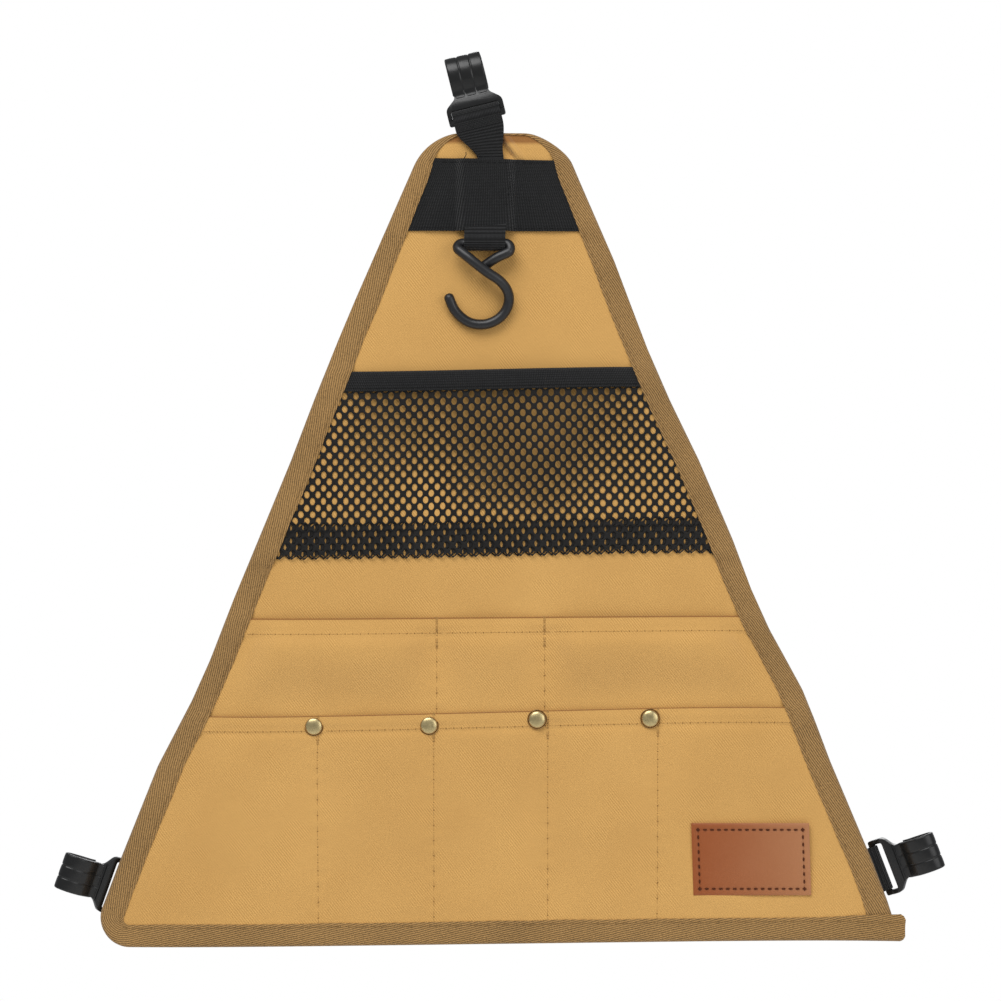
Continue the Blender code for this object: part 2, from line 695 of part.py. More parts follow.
def make_rivets(panel, sheets):
    """A domed cap with a hollow stem in front and a flat foot with a pin behind, at each divider."""
    seat = LOWER_HEM_FACE + GAP
    stem_end = -(PANEL_FACE - GAP)
    stem = seat - stem_end
    cap_profile = [
        *arc_over(RIVET_CAP_RADIUS, RIVET_RIM, RIVET_CAP_HEIGHT, RIVET_DOME_STEPS),
        (RIVET_CAP_RADIUS, 0),
        (RIVET_STEM_RADIUS, 0),
        (RIVET_STEM_RADIUS, -stem),
        (RIVET_BORE_RADIUS, -stem),
        (RIVET_BORE_RADIUS, 0),
        (0, 0),
    ]
    foot_back = PANEL_FACE + GAP
    pin = stem - GAP
    foot_profile = [
        (0, pin),
        (RIVET_PIN_RADIUS, pin),
        (RIVET_PIN_RADIUS, 0),
        (RIVET_FOOT_RADIUS, 0),
        (RIVET_FOOT_RADIUS, RIVET_FOOT_BEVEL - RIVET_FOOT_THICKNESS),
        (RIVET_FOOT_RADIUS - RIVET_FOOT_BEVEL, -RIVET_FOOT_THICKNESS),
        (0, -RIVET_FOOT_THICKNESS),
    ]
    drop = LOWER_MOUTH_DROP + RIVET_BELOW_MOUTH
    for number, x in enumerate(LOWER_DIVIDERS, 1):
        for name, profile, y in (
            (f"rivet_cap_{number}", cap_profile, -seat),
            (f"rivet_post_{number}", foot_profile, foot_back),
        ):
            piece = add_part(name, profile_mesh(name, profile), panel, "antique_brass")
            piece.location = (x, y, -drop)
            piece.rotation_euler = (math.radians(90), 0, 0)
            add_screw(piece, RIVET_STEPS)
        hole = bmesh.new()
        radius = RIVET_STEM_RADIUS + GAP
        bmesh.ops.create_cone(
            hole, cap_ends=True, segments=12, radius1=radius, radius2=radius, depth=4 * seat, matrix=FRONT
        )
        mesh = bpy.data.meshes.new(f"rivet_hole_{number}")
        hole.to_mesh(mesh)
        hole.free()
        cutter = add_cutter(f"rivet_hole_{number}", mesh, panel)
        cutter.location = (x, 0, -drop)
        for sheet in sheets:
            boolean(sheet, cutter, "DIFFERENCE")


def arc_over(radius, rim, height, steps):
    """A shallow dome from its crown at the axis down to its rim."""
    points = []
    for step in range(steps + 1):
        share = step / steps
        points.append((radius * share, rim + (height - rim) * math.sqrt(max(0.0, 1 - share * share))))
    return points


# Webbing

def make_band(panel):
    """A wide webbing band across the panel, raised over the strap that runs under it."""
    reach = half_width(BAND_TOP_DROP + BAND_WIDTH, 0)
    raised_left = STRAP_CENTRE_X - WEBBING_WIDTH / 2 - WEBBING_THICKNESS
    raised_right = STRAP_CENTRE_X + WEBBING_WIDTH / 2 + WEBBING_THICKNESS
    flat = -(BAND_FLAT_BACK + WEBBING_THICKNESS / 2)
    raised = -(BAND_RAISED_BACK + WEBBING_THICKNESS / 2)
    path = [
        (-reach, flat),
        (raised_left - BAND_RAMP, flat),
        (raised_left, raised),
        (raised_right, raised),
        (raised_right + BAND_RAMP, flat),
        (reach, flat),
    ]
    middle = Matrix.Translation((0, 0, -(BAND_TOP_DROP + BAND_WIDTH / 2)))
    mesh = extruded("top_band", [thickened(path, WEBBING_THICKNESS)], BAND_WIDTH, middle)
    band = add_part("top_band", mesh, panel, "black_webbing")
    trim_to_tape(band, panel, 2 * (BAND_RAISED_BACK + WEBBING_THICKNESS))
    return band


def add_eye(name, strap, parent, frame, bar_radius, width, tail):
    """Adds an eye round a bar to a strap, its tail running to a point of the strap's middle, then
    clears the space for the bar."""
    turn = math.atan2(tail.x, tail.y)
    half_tail = WEBBING_THICKNESS - EYE_INSET
    body = [teardrop(bar_radius + WEBBING_THICKNESS, tail.length, half_tail, turn)]
    space = [arc((0, 0), bar_radius, 0, 360, 2 * ARC_STEPS)[1:]]
    eye = extruded(name, body, width - EYE_INSET, frame)
    boolean(strap, add_cutter(name, eye, parent), "UNION")
    hollow = extruded(f"{name}_space", space, 2 * width, frame)
    boolean(strap, add_cutter(f"{name}_space", hollow, parent), "DIFFERENCE")


def make_hanging_strap(panel, top_frame):
    """A doubled webbing strap under the band: its upper eye holds the top hook, its lower eye the
    S-hook. Its neck over the rim is folded narrow."""
    band_top = -BAND_TOP_DROP
    band_foot = band_top - BAND_WIDTH
    half = WEBBING_WIDTH / 2
    neck_left = STRAP_NECK_X - STRAP_NECK_WIDTH / 2
    neck_right = STRAP_NECK_X + STRAP_NECK_WIDTH / 2
    along = Vector((math.cos(TOP_HOOK_LEAN), math.sin(TOP_HOOK_LEAN)))
    bar = Vector((TOP_BAR_X, TOP_BAR_RISE))
    down = Vector((along.y, -along.x)) * (TOP_EYE_TAIL - WEBBING_THICKNESS)
    lower_half = half - STRAP_PINCH
    strap_foot = band_foot - 1.5 * WEBBING_THICKNESS
    outline = [
        (STRAP_CENTRE_X - lower_half, strap_foot),
        (STRAP_CENTRE_X + lower_half, strap_foot),
        (STRAP_CENTRE_X + half, band_foot + half),
        (STRAP_CENTRE_X + half, band_top - half),
        (neck_right, band_top),
        bar + down + along * half,
        bar + down - along * half,
        (neck_left, band_top),
        (STRAP_CENTRE_X - half, band_top - half),
        (STRAP_CENTRE_X - half, band_foot + half),
    ]
    mesh = front_plate("hanging_strap", [outline], STRAP_FACE, STRAP_BACK)
    strap = add_part("hanging_strap", mesh, panel, "black_webbing")
    tail = Vector((0, -TOP_EYE_TAIL))
    add_eye("upper_eye", strap, panel, top_frame @ SIDE, HOOK_EYE_RADIUS, WEBBING_WIDTH, tail)
    return strap


def make_lower_eye(panel, strap, eye_y):
    """The strap's lower eye, leaning forward so that the S-hook clears the panel."""
    foot = -(BAND_TOP_DROP + BAND_WIDTH)
    middle = -(STRAP_BACK + STRAP_STACK / 2)
    tail = Vector((middle - eye_y, foot - GAP + SHOOK_BAR_DROP))
    frame = Matrix.Translation((STRAP_CENTRE_X, eye_y, -SHOOK_BAR_DROP)) @ SIDE
    width = WEBBING_WIDTH - 2 * STRAP_PINCH
    add_eye("lower_eye", strap, panel, frame, WIRE_RADIUS + GAP, width, tail)


def make_side_strap(name, panel, frame, edge):
    """A webbing loop sewn to the back of the panel: from its eye it runs in over the tape and down
    to the canvas. The edge is how far the panel's rim lies inwards of the bar."""
    on_tape = TAPE_FACE + GAP - SIDE_BAR_DEPTH
    on_canvas = PANEL_FACE + GAP - SIDE_BAR_DEPTH
    join = EYE_TAIL - WEBBING_THICKNESS
    inner_edge = max(edge + TAPE_FOLD_WIDTH, join + 3 * WEBBING_THICKNESS)
    reach = inner_edge + SIDE_STRAP_REACH
    step = WEBBING_THICKNESS
    outline = [
        (on_tape, -join),
        (on_tape, -inner_edge),
        (on_canvas, -inner_edge - step),
        (on_canvas, -reach),
        (on_canvas + STRAP_STACK, -reach),
        (on_canvas + STRAP_STACK, -inner_edge - step),
        (on_tape + STRAP_STACK, -inner_edge),
        (on_tape + STRAP_STACK, -join),
    ]
    mesh = extruded(name, [outline], WEBBING_WIDTH, frame @ SIDE)
    strap = add_part(name, mesh, panel, "black_webbing")
    tail = Vector((on_tape + WEBBING_THICKNESS, -EYE_TAIL))
    add_eye(f"{name}_eye", strap, panel, frame @ SIDE, HOOK_EYE_RADIUS, WEBBING_WIDTH, tail)
    return strap


# Moulded hook

def hook_path():
    """The middle of the hook's plate from the side, as (y, z) points: flat through the frame, a
    dip behind it, a swell in front, round the end and back to a flared tip."""
    start = HOOK_FRAME_END
    front = HOOK_CURL_BACK - HOOK_CURL_RADIUS
    span = HOOK_CURL_CENTRE - start
    flat = [(0, -HOOK_BAR_WIDTH / 2), (0, start / 2), (0, start - HOOK_CURL_DIP)]
    forward = front - HOOK_CURL_DIP
    swell = [(HOOK_CURL_DIP + forward * out, start + span * along) for along, out in HOOK_SWELL]
    plate = through_points(flat + swell, 3)
    turn = arc((HOOK_CURL_CENTRE, HOOK_CURL_BACK), HOOK_CURL_RADIUS, -90, 90, ARC_STEPS)
    round_end = [Vector((y, z)) for z, y in turn]
    back = HOOK_CURL_BACK + HOOK_CURL_RADIUS
    tip = HOOK_CURL_CENTRE - HOOK_MOUTH_TIP
    back_leg = through_points(
        [
            round_end[-1],
            (back, HOOK_CURL_CENTRE - HOOK_MOUTH_TIP * 0.35),
            (back - HOOK_CURL_DIP, tip + HOOK_MOUTH_TIP * 0.22),
            (back, tip),
        ],
        3,
    )
    return plate + round_end[:-1] + back_leg


def hook_outline():
    """The hook from the front: a slotted frame whose shoulders run in to the curl's width."""
    half = HOOK_FRAME_LENGTH / 2
    curl = HOOK_CURL_WIDTH / 2
    foot = -HOOK_BAR_WIDTH / 2
    shoulder = HOOK_SLOT_OUTER + HOOK_OUTER_BAR * 0.25
    neck = HOOK_FRAME_END + HOOK_OUTER_BAR * 0.2
    top = HOOK_END + HOOK_PLATE
    corners = (
        (-half, foot),
        (half, foot),
        (half, shoulder),
        (curl, neck),
        (curl, top),
        (-curl, top),
        (-curl, neck),
        (-half, shoulder),
    )
    edge = HOOK_BAR_WIDTH / 2.5
    shoulder_radius = HOOK_SHOULDER_RADIUS
    fillet = HOOK_NECK_FILLET
    radii = (edge, edge, shoulder_radius, fillet, edge, edge, fillet, shoulder_radius)
    return rounded(corners, radii, 5)


def make_hook_mesh():
    """The moulding: a curled plate with a thicker frame, trimmed to the hook's front outline, with
    its slot and grooves."""
    path = hook_path()
    body = extruded("moulded_hook", [thickened(path, HOOK_PLATE)], HOOK_FRAME_LENGTH * 1.2, SIDE)
    hook = add_part("moulded_hook", body, None, "black_moulded_plastic")
    face = -HOOK_PLATE / 2 - HOOK_RIM_RISE
    corners = ((face, HOOK_RIM_START), (0, HOOK_RIM_START), (0, HOOK_FRAME_END), (face, HOOK_FRAME_END))
    rim_outline = rounded(corners, [HOOK_RIM_ROUND] * 4, 2)
    rim = extruded("hook_rim", [rim_outline], HOOK_FRAME_LENGTH * 1.1, SIDE)
    boolean(hook, add_cutter("hook_rim", rim, None), "UNION")
    depth = 4 * HOOK_CURL_RADIUS
    trim = extruded("hook_trim", [hook_outline()], 2 * depth, FRONT)
    boolean(hook, add_cutter("hook_trim", trim, None), "INTERSECT")
    half_slot = HOOK_FRAME_LENGTH / 2 - HOOK_SLOT_END_WALL
    corners = (
        (-half_slot, HOOK_SLOT_INNER),
        (half_slot, HOOK_SLOT_INNER),
        (half_slot, HOOK_SLOT_OUTER),
        (-half_slot, HOOK_SLOT_OUTER),
    )
    slot = extruded("hook_slot", [rounded(corners, [HOOK_SLOT_WIDTH / 5] * 4, 3)], depth, FRONT)
    boolean(hook, add_cutter("hook_slot", slot, None), "DIFFERENCE")
    short_of_tip = path[:-3]
    curled = [point for point in short_of_tip if point.y > HOOK_FRAME_END + HOOK_GROOVE_START]
    groove_path = [(start + end) / 2 for start, end in zip(curled, curled[1:])]
    groove_outline = thickened(groove_path, 2 * HOOK_GROOVE_DEPTH, HOOK_PLATE / 2)
    for side, x in (("left", -HOOK_GROOVE_SPACING / 2), ("right", HOOK_GROOVE_SPACING / 2)):
        at = Matrix.Translation((x, 0, 0)) @ SIDE
        groove = extruded(f"hook_groove_{side}", [groove_outline], HOOK_GROOVE_WIDTH, at)
        boolean(hook, add_cutter(f"hook_groove_{side}", groove, None), "DIFFERENCE")
    bpy.context.view_layer.update()
    mesh = baked("moulded_hook", hook)
    bpy.data.objects.remove(hook)
    tidy_shell(mesh, HOOK_WELD)
    smooth(mesh)
    return mesh


def hook_frame(x, y, z, lean, tilt):
    """The frame of a hook on its bar: leaning in the panel's plane, then tilted to the front."""
    turn = Matrix.Rotation(lean, 4, "Y") @ Matrix.Rotation(tilt, 4, "X")
    return Matrix.Translation((x, y, z)) @ turn


# Wire S-hook

def shook_bend(side, lean):
    """The bend at one end of the bar, from the bar round to where the wire runs to the crossing."""
    down = Vector((0, -math.sin(lean), -math.cos(lean)))
    sweep = arc((SHOOK_BAR_HALF, SHOOK_BEND_RADIUS), SHOOK_BEND_RADIUS, -90, SHOOK_BEND_SWEEP - 90, 5)
    return [Vector((side * out, 0, 0)) + down * below for out, below in sweep]


def shook_path():
    """The middle of the wire from its short end behind the crossing to its round tip."""
    right = shook_bend(1, SHOOK_REAR_LEAN)
    left = shook_bend(-1, SHOOK_FRONT_LEAN)
    crossing = [Vector(point) for point in SHOOK_CROSSING]
    path = [Vector(point) for point in reversed(SHOOK_SHORT_END)] + right[::-1] + [Vector()] + left + crossing
    settled = 5
    last_y = crossing[-1].y
    for step, (x, z) in enumerate(arc(SHOOK_ARC_CENTRE, SHOOK_ARC_RADIUS, 30, -174, 14)):
        share = min(1.0, step / settled)
        path.append(Vector((x, last_y + (SHOOK_ARC_DEPTH - last_y) * share, z)))
    return through_points(path, 2)


def make_shook(pivot):
    path = shook_path()
    curve = bpy.data.curves.new("s_hook", "CURVE")
    curve.dimensions = "3D"
    curve.bevel_depth = WIRE_RADIUS
    curve.bevel_resolution = WIRE_SIDES
    curve.use_fill_caps = True
    spline = curve.splines.new("POLY")
    spline.points.add(len(path) - 1)
    for point, place in zip(spline.points, path):
        point.co = (*place, 1)
    hook = bpy.data.objects.new("s_hook", curve)
    part_collection.objects.link(hook)
    hook.parent = pivot
    curve.materials.append(materials["black_coated_wire"])
    return hook


# Assembly

def main():
    global part_collection, cutter_collection
    clear_scene()
    part_collection = make_collection(COLLECTION_NAME)
    cutter_collection = make_collection(CUTTER_COLLECTION_NAME, helper=True)
    make_materials()

    strap_middle = -(STRAP_BACK + STRAP_STACK / 2)
    top_frame = hook_frame(TOP_BAR_X, strap_middle, TOP_BAR_RISE, -TOP_HOOK_LEAN, 0)
    panel = make_empty("panel_origin", None, -(top_frame @ HOOK_SEAT))

    back = make_back_panel(panel)
    make_edge_tape(panel)
    make_net_pocket(panel)
    make_net_tape(panel)
    upper = make_pocket_row(
        "upper_pocket",
        panel,
        UPPER_MOUTH_DROP,
        UPPER_POCKET_FALL,
        UPPER_BULGE,
        UPPER_DIVIDERS,
        UPPER_BACK,
        rivets=False,
    )
    lower = make_pocket_row(
        "lower_pocket",
        panel,
        LOWER_MOUTH_DROP,
        LOWER_POCKET_FALL,
        LOWER_BULGE,
        LOWER_DIVIDERS,
        LOWER_BACK,
        rivets=True,
    )
    make_rivets(panel, [back, upper, lower])
    make_patch(panel)
    make_band(panel)

    strap = make_hanging_strap(panel, top_frame)
    eye_y = -(PANEL_FACE + WIRE_RADIUS + WEBBING_THICKNESS + 3 * GAP)
    make_lower_eye(panel, strap, eye_y)
    hook_frames = {"top": top_frame}
    for side, across, height, beyond, lean in (
        ("left", -1, LEFT_BAR_HEIGHT, LEFT_BAR_BEYOND_RIM, LEFT_HOOK_LEAN),
        ("right", 1, RIGHT_BAR_HEIGHT, RIGHT_BAR_BEYOND_RIM, RIGHT_HOOK_LEAN),
    ):
        drop = PANEL_HEIGHT - height
        place = (across * (half_width(drop, 0) + beyond), SIDE_BAR_DEPTH, -drop, across * lean)
        make_side_strap(f"{side}_hook_strap", panel, hook_frame(*place, 0), beyond * math.sin(lean))
        hook_frames[side] = hook_frame(*place, SIDE_HOOK_TILT)

    hook_mesh = make_hook_mesh()
    for side, frame in hook_frames.items():
        pivot = make_empty(f"{side}_hook_pivot", panel, frame.translation, frame)
        add_part(f"{side}_hook", hook_mesh.copy(), pivot, "black_moulded_plastic")

    shook_pivot = make_empty("s_hook_pivot", panel, (STRAP_CENTRE_X, eye_y, -SHOOK_BAR_DROP))
    make_shook(shook_pivot)
    bpy.context.view_layer.update()


main()
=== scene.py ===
"""The look of a hanging camp organiser: canvas, bound edges, net, webbing, moulded hooks, rivets and
a leather patch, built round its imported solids. Metres, +Z up, the front faces -Y."""

import json
import math
from collections import namedtuple

import bmesh
import bpy
import numpy as np
from bpy.props import FloatProperty, FloatVectorProperty, PointerProperty
from bpy.types import Operator, Panel, PropertyGroup
from mathutils import Matrix, Vector, noise


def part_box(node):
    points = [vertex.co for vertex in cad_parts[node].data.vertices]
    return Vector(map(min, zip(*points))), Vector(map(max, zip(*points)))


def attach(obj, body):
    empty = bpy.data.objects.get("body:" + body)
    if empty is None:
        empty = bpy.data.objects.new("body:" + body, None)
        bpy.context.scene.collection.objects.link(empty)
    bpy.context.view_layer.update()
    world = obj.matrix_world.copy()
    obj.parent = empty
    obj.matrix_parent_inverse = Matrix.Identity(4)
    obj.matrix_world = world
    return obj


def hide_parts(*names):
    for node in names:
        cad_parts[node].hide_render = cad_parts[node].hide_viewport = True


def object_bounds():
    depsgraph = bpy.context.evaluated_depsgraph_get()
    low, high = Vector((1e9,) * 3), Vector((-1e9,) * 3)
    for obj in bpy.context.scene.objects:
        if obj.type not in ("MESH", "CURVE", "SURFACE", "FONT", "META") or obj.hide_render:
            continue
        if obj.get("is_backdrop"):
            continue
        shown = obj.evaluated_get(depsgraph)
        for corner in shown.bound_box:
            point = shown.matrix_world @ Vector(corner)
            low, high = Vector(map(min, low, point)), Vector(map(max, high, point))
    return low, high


bl_info = {
    "name": "Hanging camp organiser",
    "version": (1, 0, 0),
    "blender": (4, 5, 0),
    "location": "View3D > Sidebar > Organiser",
    "description": "Builds a canvas organiser with a net, pockets, webbing, hooks and a leather patch",
    "category": "Object",
}

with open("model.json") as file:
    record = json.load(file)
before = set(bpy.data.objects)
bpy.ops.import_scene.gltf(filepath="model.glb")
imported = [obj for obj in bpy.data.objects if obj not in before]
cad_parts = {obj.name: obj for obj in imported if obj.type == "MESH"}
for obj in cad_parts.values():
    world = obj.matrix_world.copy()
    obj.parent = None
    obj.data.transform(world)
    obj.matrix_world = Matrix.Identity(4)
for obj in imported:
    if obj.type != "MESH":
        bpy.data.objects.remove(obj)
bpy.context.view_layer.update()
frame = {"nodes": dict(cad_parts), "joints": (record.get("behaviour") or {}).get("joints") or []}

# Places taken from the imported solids
TAPE_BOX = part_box("edge_tape")
CANVAS_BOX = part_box("back_panel")
JOINTS = {joint["name"]: joint for joint in frame["joints"]}

# The panel, with drops measured down from its top edge
PANEL_TOP_WIDTH = 0.0737
PANEL_BOTTOM_WIDTH = 0.4494
PANEL_HEIGHT = TAPE_BOX[1].z - TAPE_BOX[0].z
PANEL_ORIGIN = Vector(
    (TAPE_BOX[1].x - PANEL_BOTTOM_WIDTH / 2, (CANVAS_BOX[0].y + CANVAS_BOX[1].y) / 2, TAPE_BOX[1].z)
)
PANEL_TOP_RADIUS = 0.030
PANEL_LEFT_RADIUS = 0.0158
EDGE_SLOPE = (PANEL_BOTTOM_WIDTH - PANEL_TOP_WIDTH) / 2 / PANEL_HEIGHT
EDGE_ANGLE = math.atan(EDGE_SLOPE)

# Distances in front of the middle of the canvas
CANVAS_THICK = 0.0008
CLOTH_THICK = 0.0008
WEB_THICK = 0.0011
TAPE_FRONT = 0.0010
NET_LAYER = 0.00085

# Insets from the rim: what the tape's flaps hold flat and where cloth hangs free of them, the tape's
# back flap, its stitches' inset from a flap's edge, where a pocket or net starts to stand off, and where
# seams across the panel end
TAPE_HOLD = 0.0135
TAPE_FREE = 0.0240
TAPE_FLAP = 0.0125
TAPE_SEAM = 0.0020
FREE_INSET = 0.0140
SEAM_INSET = 0.0150

# Pockets
UPPER_MOUTH = 0.2662
LOWER_MOUTH = 0.3182
HEM = 0.009
UPPER_DIVIDERS = (-0.0318, 0.0275)
LOWER_DIVIDERS = (-0.0968, -0.0333, 0.0292, 0.0893)
RIVETS = ((-0.0993, -0.3262), (-0.0360, -0.3256), (0.0234, -0.3223), (0.0855, -0.3218))
RIVET_RADIUS = 0.0054
Pocket = namedtuple("Pocket", "name mouth fall bulge layer dividers seed seam_end")
UPPER = Pocket("upper_pocket", UPPER_MOUTH, 0.047, 0.0058, 0.0009, UPPER_DIVIDERS, 11.0, LOWER_MOUTH + 0.004)
LOWER = Pocket("lower_pocket", LOWER_MOUTH, 0.085, 0.0022, 0.00175, LOWER_DIVIDERS, 21.0, PANEL_HEIGHT - TAPE_HOLD)

# Net
NET_MOUTH = 0.1302
NET_FOOT = 0.2330
NET_TAPE = 0.0107
NET_ACROSS = 0.0063
NET_DOWN = 0.0036
NET_HOLE = (0.00153, 0.00200)
NET_FOLD = 0.0175

# Leather patch
PATCH_SIZE = (0.0647, 0.0397)
PATCH_CENTRE = (0.1410, 0.3991)
PATCH_SKEW = 0.033

# Webbing
BAND_TOP = 0.0145
BAND_FOOT = 0.0540
STRAP_X = -0.0049
WEB_WIDTH = 0.025
SIDE_STRAP_REACH = {"left": 0.0157, "right": 0.0231}

# Moulded hooks: their bar's radius, how far the lower two stand forward, where the curl leaves the
# frame, and the curl's middle line from the bar (out, forward)
HOOK_BAR = 0.0018
SIDE_HOOK_TILT = math.radians(32)
HOOK_CUT = 0.0152
HOOK_CURL = (
    (0.0128, -0.0004), (0.0148, -0.0008), (0.0172, -0.0005), (0.0200, 0.0008), (0.0232, 0.0020), (0.0264, 0.0024),
    (0.0297, 0.0019), (0.0329, 0.0002), (0.0348, -0.0026), (0.0341, -0.0054), (0.0310, -0.0071), (0.0260, -0.0072),
    (0.0215, -0.0067), (0.0188, -0.0062), (0.0156, -0.0070),
)

# S-hook: its wire and the webbing's turn round it, its bar's ends as (side, half length, bend, lean in
# degrees), the rear end's way to the crossing, and the front end's from it round the open hook, all
# from the middle of its top bar
S_HOOK_RADIUS = 0.0028
S_HOOK_TURN = 0.0029
S_HOOK_ENDS = ((1, 0.0109, 0.0031, 25), (-1, 0.0115, 0.0033, 45))
S_HOOK_REAR = ((-0.0010, -0.0005, -0.0129), (0.0065, -0.0022, -0.0080))
S_HOOK_RUN = (
    (-0.0086, -0.0062, -0.0083), (-0.0031, -0.0067, -0.0127), (0.0024, -0.0064, -0.0168), (0.0079, -0.0048, -0.0204),
    (0.0118, -0.0022, -0.0248), (0.0134, 0.0002, -0.0303), (0.0118, 0.0013, -0.0364), (0.0079, 0.0015, -0.0410),
    (0.0024, 0.0015, -0.0438), (-0.0031, 0.0015, -0.0444), (-0.0086, 0.0015, -0.0432), (-0.0135, 0.0015, -0.0399),
    (-0.0171, 0.0013, -0.0355), (-0.0195, 0.0009, -0.0298),
)

# How far each side wanders from its straight line, by drop
RIM_WANDER = {
    -1: (
        (0.0015, -0.0009), (0.0083, -0.0004), (0.015, -0.0002), (0.037, 0.0002), (0.092, 0.0011), (0.114, 0.0011),
        (0.147, 0.0005), (0.180, -0.0008), (0.213, -0.0011), (0.257, -0.0014), (0.290, -0.0025), (0.312, -0.0019),
        (0.334, 0.0003), (0.348, 0.0017), (0.367, 0.0013), (0.400, 0.0006), (0.422, -0.0004), (0.440, -0.0009),
    ),
    1: (
        (0.0015, -0.0056), (0.005, -0.0040), (0.0083, -0.0028), (0.0116, -0.0018), (0.015, -0.0012), (0.026, -0.0012),
        (0.070, -0.0006), (0.092, -0.0016), (0.119, -0.0027), (0.147, -0.0023), (0.180, -0.0002), (0.224, 0.0),
        (0.251, -0.0013), (0.273, -0.0006), (0.286, 0.0011), (0.306, 0.0036), (0.323, 0.0033), (0.345, 0.0023),
        (0.400, 0.0023), (0.422, 0.0014), (0.436, 0.0),
    ),
}

# The climb of the cloth's rows, by drop
ROW_TILTS = (
    (0, -0.006), (0.06, -0.004), (0.13, 0.022), (0.233, 0.020), (0.266, 0.008), (0.318, 0.025), (0.445, 0.013),
)

# Edge tape: the steps along it, its visible front width by drop, the rounding of its cut end, and how far
# each layer under it lifts it (from, to, rise)
TAPE_STEP = 0.0028
TAPE_WIDTHS = (
    (0.0, 0.0012), (0.0005, 0.0022), (0.002, 0.0034), (0.005, 0.0054), (0.008, 0.0070), (0.0137, 0.0094),
    (0.020, 0.0103), (0.037, 0.0109), (0.060, 0.0118), (0.085, 0.0126), (0.150, 0.0128),
)
TAPE_END_ROUND = 0.0030
TAPE_RISES = (
    (BAND_TOP, BAND_FOOT, 0.0012),
    (NET_MOUTH, NET_FOOT, 0.0009),
    (NET_MOUTH, NET_MOUTH + NET_TAPE, 0.0008),
    (NET_FOOT - NET_FOLD, NET_FOOT, 0.0006),
    (UPPER_MOUTH, 1.0, 0.0009),
    (UPPER_MOUTH, UPPER_MOUTH + HEM, 0.0006),
    (LOWER_MOUTH, 1.0, 0.00085),
    (LOWER_MOUTH, LOWER_MOUTH + HEM, 0.0006),
)

# Colours of the threads, and the painted shade of the needle holes in cloth and leather
THREADS = {
    "tan_thread": (0.52, 0.30, 0.10),
    "tan_needle_hole": (0.36, 0.188, 0.054),
    "brown_thread": (0.330, 0.190, 0.068),
    "needle_hole": (0.230, 0.130, 0.048),
    "black_thread": (0.014, 0.014, 0.0145),
    "leather_thread": (0.095, 0.024, 0.009),
    "leather_hole": (0.045, 0.012, 0.006),
}

FRONT = Vector((0, -1, 0))
BACK = -FRONT
DOWN = Vector((0, 0, -1))


# Small helpers

def at(x, y, drop):
    """A point of the panel in the row frame: across, in front of the canvas, and down from its top."""
    return PANEL_ORIGIN + Vector((x, -y, -drop))


def smoothstep(low, high, value):
    t = min(max((value - low) / (high - low), 0.0), 1.0)
    return t * t * (3 - 2 * t)


def bump(centre, reach, value):
    """A smooth hill of height 1 about a centre."""
    t = min(abs(value - centre) / reach, 1.0)
    return (1 - t * t) ** 2


def between(values, at_value):
    """A value read from pairs of (place, value) with straight runs between them."""
    if at_value <= values[0][0]:
        return values[0][1]
    for (x0, y0), (x1, y1) in zip(values, values[1:]):
        if at_value <= x1:
            return y0 + (y1 - y0) * (at_value - x0) / (x1 - x0)
    return values[-1][1]


def half_width(drop, inset=0.0):
    return PANEL_TOP_WIDTH / 2 + EDGE_SLOPE * drop - inset / math.cos(EDGE_ANGLE)


def rim_x(side, drop, inset=0.0):
    """Where the panel's rim lies at a drop on one side, moved in by a distance square to it."""
    x = half_width(drop, inset)
    top_reach = PANEL_TOP_RADIUS * math.tan(math.pi / 4 - EDGE_ANGLE / 2)
    if drop < top_reach * math.cos(EDGE_ANGLE):
        up = min(PANEL_TOP_RADIUS - drop, PANEL_TOP_RADIUS - inset)
        middle = PANEL_TOP_WIDTH / 2 - top_reach
        x = middle + math.sqrt((PANEL_TOP_RADIUS - inset) ** 2 - up * up)
    left_reach = PANEL_LEFT_RADIUS * math.tan(math.pi / 4 + EDGE_ANGLE / 2)
    low = PANEL_HEIGHT - drop
    if side < 0 and low < left_reach * math.cos(EDGE_ANGLE):
        down = max(-1.0, (PANEL_LEFT_RADIUS - low) / max(PANEL_LEFT_RADIUS - inset, 1e-4))
        middle = PANEL_BOTTOM_WIDTH / 2 - left_reach
        x = middle + (PANEL_LEFT_RADIUS - inset) * math.sqrt(max(0.0, 1 - min(down, 1.0) ** 2))
    return side * x


def inward_of(x, drop):
    """How far a place of the flat panel lies inside its rim."""
    return min((half_width(drop) - abs(x)) * math.cos(EDGE_ANGLE), PANEL_HEIGHT - drop)


def freedom(x, drop):
    """0 where a layer is held flat under the edge tape, 1 where it hangs free."""
    return smoothstep(TAPE_HOLD, TAPE_FREE, inward_of(x, drop))


def tilt(drop):
    """How far the cloth's rows climb to the right, as sewn."""
    return between(ROW_TILTS, drop)


def edge_shift(side, drop):
    """How far the panel's side stands out from its straight line, as it hangs."""
    seen = drop - tilt(drop) * side * half_width(drop) * 0.5
    return half_width(seen) - half_width(drop) + between(RIM_WANDER[side], seen)


def soft_noise(x, drop, size, seed):
    return noise.noise(Vector((x / size, drop / size, seed)))


